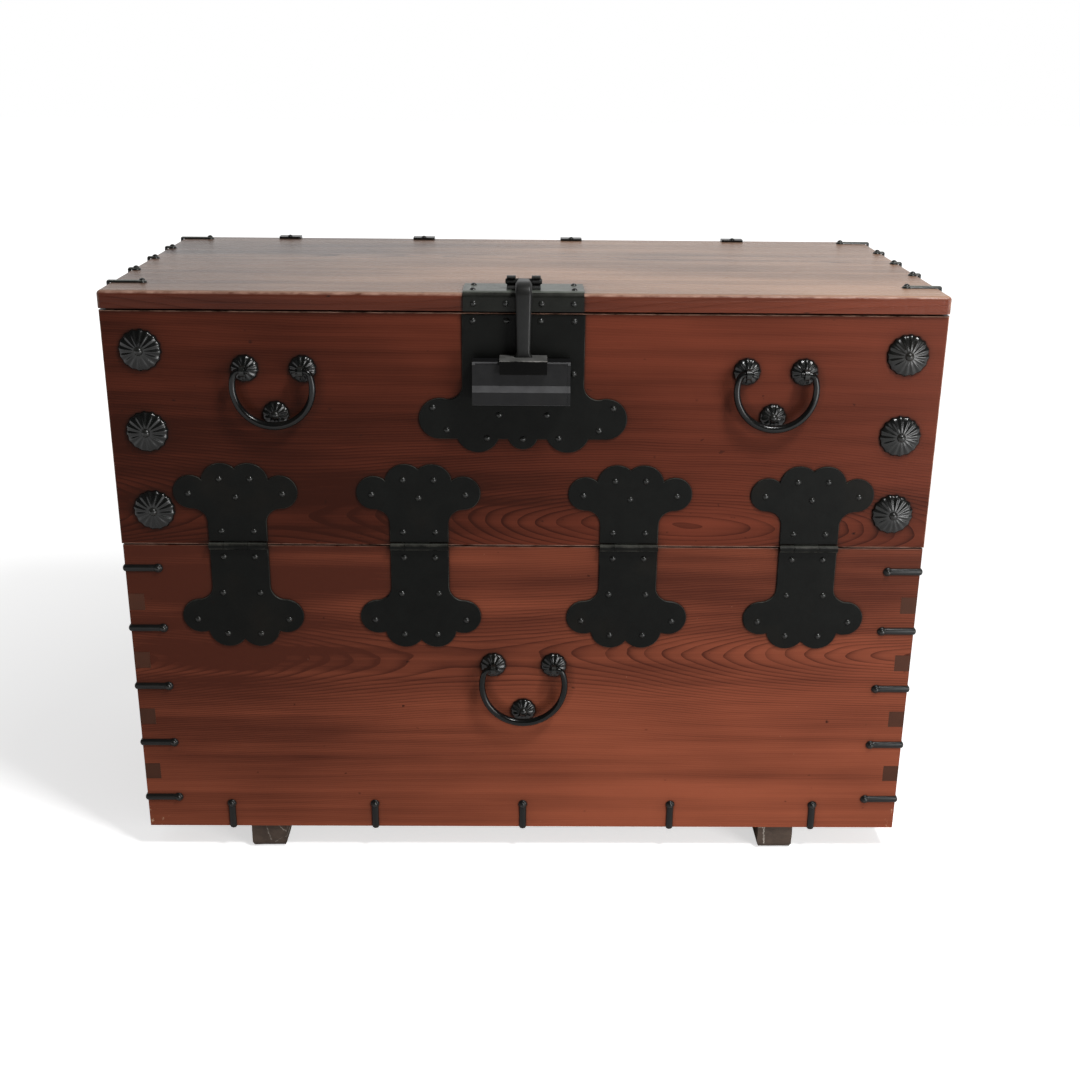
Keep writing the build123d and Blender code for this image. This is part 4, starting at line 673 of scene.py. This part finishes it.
def solids_of(node):
    """The low and high corner of each separate solid of a CAD piece, from left to right."""
    merged_copy(node, "measured")
    edit_whole()
    bpy.ops.mesh.separate(type="LOOSE")
    bpy.ops.object.mode_set(mode="OBJECT")
    corners = []
    for solid in list(bpy.context.selected_objects):
        places = [vertex.co.copy() for vertex in solid.data.vertices]
        corners.append([Vector([pick(place[axis] for place in places) for axis in range(3)])
                        for pick in (min, max)])
        bpy.data.objects.remove(solid)
    return sorted(corners, key=lambda pair: (round(pair[0].x, 4), pair[0].z))


def draw_out(way):
    """Draws the selected edges or faces out in a straight line."""
    bpy.ops.mesh.extrude_region_move(TRANSFORM_OT_translate={"value": way})


def turn_outward(angle):
    """Turns the active mesh's faces outward, and shades it smooth along its curves."""
    edit_whole()
    bpy.ops.mesh.normals_make_consistent(inside=False)
    bpy.ops.object.mode_set(mode="OBJECT")
    bpy.ops.object.shade_smooth_by_angle(angle=radians(angle))


def hammered_flower(name, radius, height, petals):
    """One flower that looks to the front, its seat at the origin."""
    bpy.ops.object.select_all(action="DESELECT")
    share, rise = PETAL_RIDGE[-1]
    bpy.ops.mesh.primitive_circle_add(vertices=2 * petals, radius=share * radius)
    flower = bpy.context.object
    flower.name = name
    edit_whole()
    for next_share, next_rise in PETAL_RIDGE[-2::-1]:
        draw_out((0.0, 0.0, (next_rise - rise) * height))
        factor = next_share / share
        bpy.ops.transform.resize(value=(factor, factor, 1.0), center_override=(0.0, 0.0, 0.0))
        share, rise = next_share, next_rise
    bpy.ops.mesh.edge_face_add()
    for start, pinch, low in VALLEYS:
        bpy.ops.mesh.select_all(action="DESELECT")
        bpy.ops.object.mode_set(mode="OBJECT")
        for vertex in flower.data.vertices:
            meridian = round(atan2(vertex.co.y, vertex.co.x) / (pi / petals))
            vertex.select = meridian % 2 == 1 and hypot(vertex.co.x, vertex.co.y) > start * radius
        bpy.ops.object.mode_set(mode="EDIT")
        bpy.ops.transform.resize(value=(pinch, pinch, low), center_override=(0.0, 0.0, 0.0))
    bpy.ops.object.mode_set(mode="OBJECT")
    smooth = flower.modifiers.new("smooth", "SUBSURF")
    smooth.levels = smooth.render_levels = 2
    bpy.ops.object.modifier_apply(modifier=smooth.name)
    bpy.ops.object.mode_set(mode="EDIT")
    bpy.ops.mesh.select_all(action="DESELECT")
    bpy.ops.mesh.select_non_manifold()
    bpy.ops.mesh.edge_face_add()
    turn_outward(60.0)
    flower.rotation_euler = (radians(90.0), 0.0, 0.0)
    settle(flower)
    return flower


flower_iron = iron_finish("flower_iron", colour=(0.0034, 0.0038, 0.0034), gloss=0.25, wear_and_highlight=0.0, hammer=0.01,
                          shine=0.42, dents=200.0, grit=0.05)
for node, petals in (("left_door_bosses", 16), ("right_door_bosses", 16), ("door_bail_rosettes", 12),
                     ("lower_bail_rosettes", 12), ("door_bail_stop", 12), ("lower_bail_stop", 12)):
    solids = solids_of(node)
    low, high = solids[0]
    pattern = hammered_flower(node + "_pattern", (high.x - low.x) / 2, high.y - low.y, petals)
    for number, (low, high) in enumerate(solids, start=1):
        flower = pattern.copy()
        flower.data = pattern.data.copy()
        flower.name = f"{node.rstrip('s')}_flower_{number}"
        bpy.context.scene.collection.objects.link(flower)
        flower.rotation_euler = (0.0, number * FLOWER_TURN, 0.0)
        flower.location = ((low.x + high.x) / 2, high.y, (low.z + high.z) / 2)
        settle(flower)
        stand_for(flower, flower_iron, node)
    bpy.data.objects.remove(pattern)


# ============================================================ bail handles
# Each bail is a round bar drawn down towards its ends, bent to a horseshoe and sprung through two eyes. It
# hangs from the eyes and rests on a stop boss.
BAIL_ROD = 0.00375
BAIL_END_RADIUS = 0.0031
BAIL_MIDDLE_RADIUS = 0.0044
BAIL_EYE_WIDTH = 0.005
BAIL_STUB = 0.003
BAIL_MARGIN = 0.0008
CURL_STEPS = 10
BOW_STEPS = 22
ROD_SIDES = 16
EDGE_ANGLE = 40.0
EYE_EASE = 0.0008
bail_iron = iron_finish("bail_iron", colour=(0.0034, 0.0036, 0.0034), gloss=0.20, wear_and_highlight=0.0, hammer=0.03,
                        shine=0.25, dents=110.0)


def turn_round(centre, axis, angle, steps, growth=1.0):
    """Draws the selected section out round a centre. With no window, rotate turns the other way."""
    for _ in range(steps):
        bpy.ops.mesh.extrude_region_move()
        bpy.ops.transform.rotate(value=-angle / steps, orient_axis=axis, center_override=centre)
        bpy.ops.transform.resize(value=(growth, growth, growth))


for node, posts in (("left_bail", "door_bail_posts"), ("right_bail", "door_bail_posts"),
                    ("lower_bail", "lower_bail_posts")):
    low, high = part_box(node)
    eyes = [(a.x + b.x) / 2 for a, b in solids_of(posts) if low.x < a.x < high.x]
    spacing = max(eyes) - min(eyes)
    middle_x, middle_y, axis_z = (low.x + high.x) / 2, (low.y + high.y) / 2, high.z - BAIL_ROD
    # the bow, an arc round (0, -drop), meets the curl at either end, an arc round (curl_x, -curl)
    bow = (high.x - low.x) / 2 - BAIL_ROD
    drop = axis_z - low.z - BAIL_ROD - bow
    curl_x = spacing / 2 + BAIL_EYE_WIDTH / 2 + BAIL_MARGIN
    curl = (bow**2 - drop**2 - curl_x**2) / (2 * (bow - drop))
    meet_x = bow * curl_x / (bow - curl)
    meet_z = -drop + bow * (drop - curl) / (bow - curl)
    end_x = spacing / 2 - BAIL_EYE_WIDTH / 2 - BAIL_STUB
    bpy.ops.object.select_all(action="DESELECT")
    bpy.ops.mesh.primitive_circle_add(vertices=ROD_SIDES, radius=BAIL_END_RADIUS, fill_type="NGON",
                                      location=(end_x, middle_y, axis_z), rotation=(0.0, radians(90.0), 0.0))
    bail = bpy.context.object
    bail.name = node + "_bar"
    settle(bail)
    edit_whole()
    draw_out((curl_x - end_x, 0.0, 0.0))
    growth = (BAIL_MIDDLE_RADIUS / BAIL_END_RADIUS) ** (1 / (CURL_STEPS + BOW_STEPS))
    curl_angle = atan2(meet_x - curl_x, meet_z + curl)
    bow_angle = pi - atan2(meet_x, meet_z + drop)
    turn_round((curl_x, 0.0, axis_z - curl), "Y", curl_angle, CURL_STEPS, growth)
    turn_round((0.0, 0.0, axis_z - drop), "Y", bow_angle, BOW_STEPS, growth)
    bpy.ops.mesh.delete(type="ONLY_FACE")
    bpy.ops.object.mode_set(mode="OBJECT")
    other_half = bail.modifiers.new("other_half", "MIRROR")
    other_half.use_clip = True
    bpy.ops.object.modifier_apply(modifier=other_half.name)
    turn_outward(50.0)
    bail.location.x = middle_x
    settle(bail)
    stand_for(bail, bail_iron, node)


def file_round(piece, width, segments=2):
    """Files a piece's sharp edges round."""
    ease = piece.modifiers.new("ease", "BEVEL")
    ease.width = width
    ease.segments = segments
    ease.angle_limit = radians(EDGE_ANGLE)
    bpy.ops.object.modifier_apply(modifier=ease.name)
    smooth_over(piece, EDGE_ANGLE)


def eased(node, name, finish, width, segments=2):
    """A CAD piece's merged copy with its sharp edges filed round, in the piece's place."""
    piece = merged_copy(node, name)
    file_round(piece, width, segments)
    stand_for(piece, finish, node)


for node in ("door_bail_posts", "lower_bail_posts"):
    eased(node, node.replace("posts", "eyes"), forged_iron, EYE_EASE)


# ============================================================ straps
# Half-round iron straps bind the corners and the lower edge of the case, and tie the lid to the ends. Each is
# a forged bar with a round pad at both ends, bent round the edge and nailed through the pads. Broad flat
# straps tie the lid to the back.
STRAP_HALF_WIDTH = 0.0040
STRAP_THICKNESS = 0.0027
STRAP_FLAT = 0.0026
STRAP_NAIL_INSET = 0.005
STRAP_EASE = 0.0008
BEND_STEPS = 4
PAD_RADIUS = 0.0053
PAD_THICKNESS = 1.15 * STRAP_THICKNESS
PAD_SIDES = 20
LID_STEP = 0.0030


def strap_pad(place, outward):
    """The round pad at a strap's end: a low dome that looks outward."""
    bpy.ops.object.select_all(action="DESELECT")
    bpy.ops.mesh.primitive_uv_sphere_add(segments=PAD_SIDES, ring_count=PAD_SIDES // 2, radius=1.0,
                                         location=place,
                                         rotation=outward.to_track_quat("Z", "Y").to_euler())
    pad = bpy.context.object
    pad.scale = (PAD_RADIUS, PAD_RADIUS, PAD_THICKNESS)
    settle(pad)
    edit_whole()
    bpy.ops.mesh.bisect(plane_co=place, plane_no=outward, use_fill=True, clear_inner=True)
    bpy.ops.object.mode_set(mode="OBJECT")
    return pad


def strap(start, ahead, outward, legs):
    """One strap on its pads. Its bar is drawn out ahead, and bends round an edge between two lengths in legs.

    A leg that is a vector is drawn out in that direction, with no bend before it.
    """
    ahead, outward = Vector(ahead), Vector(outward)
    pads = [strap_pad(start, outward)]
    width_way = outward.cross(ahead)
    bpy.ops.object.select_all(action="DESELECT")
    bpy.ops.mesh.primitive_circle_add(vertices=ROD_SIDES, radius=1.0, fill_type="NGON")
    bar = bpy.context.object
    bar.scale = (STRAP_HALF_WIDTH, STRAP_THICKNESS, 1.0)
    settle(bar)
    for vertex in bar.data.vertices:
        vertex.co.y = max(vertex.co.y, 0.0)
    bar.matrix_world = Matrix((width_way, outward, ahead)).transposed().to_4x4()
    bar.location = start
    settle(bar)
    edit_whole()
    place = Vector(start)
    for number, leg in enumerate(legs):
        if isinstance(leg, Vector):
            draw_out(leg)
            place += leg
            continue
        if number:
            hinge = outward.cross(ahead)
            axis = max(range(3), key=lambda i: abs(hinge[i]))
            turn_round(place, "XYZ"[axis], radians(90.0) * hinge[axis], BEND_STEPS)
            ahead, outward = -outward, ahead
        draw_out(ahead * leg)
        place += ahead * leg
    bpy.ops.object.mode_set(mode="OBJECT")
    pads.append(strap_pad(place, outward))
    for part in pads + [bar]:
        part.select_set(True)
    bpy.context.view_layer.objects.active = bar
    bpy.ops.object.join()
    turn_outward(45.0)
    return bar


def strap_set(node, made, finish):
    """The straps of one CAD piece, joined, in its place."""
    bpy.ops.object.select_all(action="DESELECT")
    for bar in made:
        bar.select_set(True)
    bpy.context.view_layer.objects.active = made[0]
    bpy.ops.object.join()
    made[0].name = node.replace("straps", "strap_iron")
    stand_for(made[0], finish, node)


strap_iron = iron_finish("strap_iron", colour=(0.0050, 0.0053, 0.0049), gloss=0.34, wear_and_highlight=0.0, hammer=0.12,
                         shine=0.30, dents=200.0)
# The straps' faces that look up on the lid are painted pale, a painted reflection that matches the lid's
# sheen.
lid_strap_iron = iron_finish("lid_strap_iron", colour=(0.009, 0.0095, 0.0085), gloss=0.32, wear_and_highlight=0.0,
                             hammer=0.12, shine=0.30, dents=200.0, rubbed_and_lit_top=(0.13, 0.135, 0.12))
for node, side in (("left_corner_straps", -1), ("right_corner_straps", 1)):
    made = []
    for low, high in solids_of(node):
        inner, outer = (high.x, low.x) if side < 0 else (low.x, high.x)
        start = Vector((inner + side * STRAP_NAIL_INSET, low.y + STRAP_FLAT, (low.z + high.z) / 2))
        legs = [abs(outer - start.x) - STRAP_FLAT, high.y - start.y - STRAP_NAIL_INSET]
        made.append(strap(start, (side, 0, 0), (0, -1, 0), legs))
    strap_set(node, made, strap_iron)
made = []
for low, high in solids_of("bottom_straps"):
    start = Vector(((low.x + high.x) / 2, low.y + STRAP_FLAT, high.z - STRAP_NAIL_INSET))
    legs = [start.z - low.z - STRAP_FLAT, high.y - start.y - STRAP_NAIL_INSET]
    made.append(strap(start, (0, 0, -1), (0, -1, 0), legs))
strap_set("bottom_straps", made, strap_iron)
for node, side in (("left_top_straps", -1), ("right_top_straps", 1)):
    wall_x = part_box("left_side_board")[0].x if side < 0 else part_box("right_side_board")[1].x
    edge_x = lid_low.x if side < 0 else lid_high.x
    made = []
    for low, high in solids_of(node):
        inner = high.x if side < 0 else low.x
        start = Vector((inner + side * STRAP_NAIL_INSET, (low.y + high.y) / 2, lid_high.z))
        step = Vector((wall_x - edge_x, 0.0, -LID_STEP))
        last = Vector((0.0, 0.0, low.z + STRAP_NAIL_INSET - (lid_low.z - LID_STEP)))
        legs = [abs(edge_x - start.x), lid_high.z - lid_low.z, step, last]
        made.append(strap(start, (side, 0, 0), (0, 0, 1), legs))
    strap_set(node, made, lid_strap_iron)
eased("back_straps", "back_strap_iron", strap_iron, STRAP_EASE)


# ============================================================ padlock
# The padlock's case is brazed up from smooth dark iron, with a slope between its upper and its lower part and
# a plate over each end. The right one carries the bolt. The front edge of the top is filed off at a slant.
PADLOCK_STEP = 0.006
PADLOCK_SLANT = 0.0026
padlock_low, padlock_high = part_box("padlock_body")
# Its slant, its slope band and its edges are painted pale: a painted reflection of the light above, with
# rubbing.
padlock_iron = iron_finish("padlock_iron", colour=(0.0092, 0.0092, 0.0096), worn_and_highlit=(0.088, 0.088, 0.090),
                           gloss=0.36, wear_and_highlight=1.0, patchy=(0.5, 0.32), hammer=0.06, shine=0.15, dents=90.0)
for node in ("padlock_body", "padlock_key_plate", "padlock_bolt"):
    piece = merged_copy(node, node + "_iron")
    edit_whole()
    bpy.ops.mesh.bisect(plane_co=(0.0, padlock_low.y + PADLOCK_STEP, padlock_high.z - PADLOCK_SLANT),
                        plane_no=(0.0, -1.0, 1.0), use_fill=True, clear_outer=True)
    bpy.ops.object.mode_set(mode="OBJECT")
    smooth_over(piece, SHEET_CURVE)
    stand_for(piece, padlock_iron, node)


# ============================================================ hasp
# The hasp is forged in one piece: a cross bar that turns in two eyes on the lid, an arm bent over the edge,
# which narrows to its foot, and a hood that shuts over the padlock, with the tongue for the bolt behind it.
HASP_BAR_RADIUS = 0.0030
HASP_BAR_LENGTH = 0.039
HASP_BAR_SIDES = 24
HASP_BAR_EASE = 0.4 * HASP_BAR_RADIUS
HASP_RISE = 0.0050
HASP_TOP_HALF = 0.0088
HASP_NECK_HALF = 0.0074
HASP_FOOT_HALF = 0.0098
HASP_EYE_HALF = 0.0068
HASP_DEPTH_HALF = 0.0044
HASP_CORNER = 0.0036
HASP_FOOT_HEIGHT = 0.005
HASP_DROP = 0.0014
HASP_BEND = 0.009
HASP_BEND_STEPS = 8
HASP_STANDOFF = 0.014
HASP_EASE = 0.0009
HASP_EYE_EASE = 0.0012
HOOD_RISE = 0.0034
HOOD_ROOT = 0.001
# The arm's rounded end: how much further it reaches at each step, and how much narrower and lower it gets.
HASP_END = ((0.55, 0.86), (0.30, 0.72), (0.15, 0.50))

hasp_low, hasp_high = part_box("hasp")
hasp_x = (hasp_low.x + hasp_high.x) / 2
hasp_axis_y = hasp_high.y - HASP_RISE
hasp_axis_z = hasp_high.z - HASP_RISE
arm_y = front_low.y - HASP_STANDOFF
hood_top = padlock_high.z + HOOD_RISE

# The hood's edges and top are painted pale: rubbed spots and a painted highlight of the light above.
hood_iron = iron_finish("hood_iron", colour=(0.0022, 0.0022, 0.0021), worn_and_highlit=(0.30, 0.29, 0.27), gloss=0.36,
                        wear_and_highlight=1.0, hammer=0.10, shine=0.05, dents=75.0, rubbed_and_lit_top=(0.11, 0.11, 0.105))
hasp_iron = iron_finish("hasp_iron", colour=(0.0075, 0.0078, 0.0074), gloss=0.40, wear_and_highlight=0.0, hammer=0.06,
                        shine=0.24, dents=110.0)
hood = merged_copy("hasp", "hasp_hood")
edit_whole()
bpy.ops.mesh.bisect(plane_co=(0.0, 0.0, hood_top + HOOD_ROOT / 10), plane_no=(0.0, 0.0, 1.0), use_fill=True,
                    clear_outer=True)
bpy.ops.object.mode_set(mode="OBJECT")
file_round(hood, HASP_EASE, segments=3)
stand_for(hood, hood_iron, "hasp")


def taper(height, ratio, steps=4):
    """Draws the selected section out upward while its width changes by the ratio."""
    for _ in range(steps):
        draw_out((0.0, 0.0, height / steps))
        bpy.ops.transform.resize(value=(ratio ** (1 / steps), 1.0, 1.0))


bpy.ops.object.select_all(action="DESELECT")
bpy.ops.mesh.primitive_plane_add(size=2.0, location=(hasp_x, arm_y, hood_top - HOOD_ROOT))
arm = bpy.context.object
arm.name = "hasp_arm"
arm.scale = (HASP_FOOT_HALF, HASP_DEPTH_HALF, 1.0)
settle(arm)
edit_whole()
bpy.ops.mesh.bevel(offset=HASP_CORNER, segments=5, affect="VERTICES")
bpy.ops.mesh.select_all(action="SELECT")
draw_out((0.0, 0.0, HOOD_ROOT))
taper(HASP_FOOT_HEIGHT, HASP_NECK_HALF / HASP_FOOT_HALF)
bend_start = hasp_axis_z - HASP_DROP - HASP_BEND
taper(bend_start - hood_top - HASP_FOOT_HEIGHT, HASP_TOP_HALF / HASP_NECK_HALF)
turn_round((hasp_x, arm_y + HASP_BEND, bend_start), "X", radians(-90.0), HASP_BEND_STEPS)
draw_out((0.0, hasp_axis_y - arm_y - HASP_BEND, 0.0))
bpy.ops.transform.resize(value=(HASP_EYE_HALF / HASP_TOP_HALF, 1.0, 1.0))
for share, narrow in HASP_END:
    draw_out((0.0, share * HASP_DEPTH_HALF, 0.0))
    bpy.ops.transform.resize(value=(narrow, 1.0, narrow))
bpy.ops.mesh.select_all(action="SELECT")
bpy.ops.mesh.normals_make_consistent(inside=False)
bpy.ops.object.mode_set(mode="OBJECT")

bpy.ops.object.select_all(action="DESELECT")
bpy.ops.mesh.primitive_cylinder_add(vertices=HASP_BAR_SIDES, radius=HASP_BAR_RADIUS, depth=HASP_BAR_LENGTH,
                                    location=(hasp_x, hasp_axis_y, hasp_axis_z),
                                    rotation=(0.0, radians(90.0), 0.0))
cross_bar = bpy.context.object
settle(cross_bar)
bpy.ops.object.mode_set(mode="EDIT")
select_faces(lambda normal: abs(normal.x) > 0.9)
bpy.ops.mesh.bevel(offset=HASP_BAR_EASE, segments=3)
bpy.ops.object.mode_set(mode="OBJECT")

arm.select_set(True)
bpy.context.view_layer.objects.active = arm
bpy.ops.object.join()
bpy.ops.object.shade_smooth_by_angle(angle=radians(EDGE_ANGLE))
stand_for(arm, hasp_iron, "hasp")
eased("hasp_eyes", "hasp_eye_iron", forged_iron, HASP_EYE_EASE, segments=3)
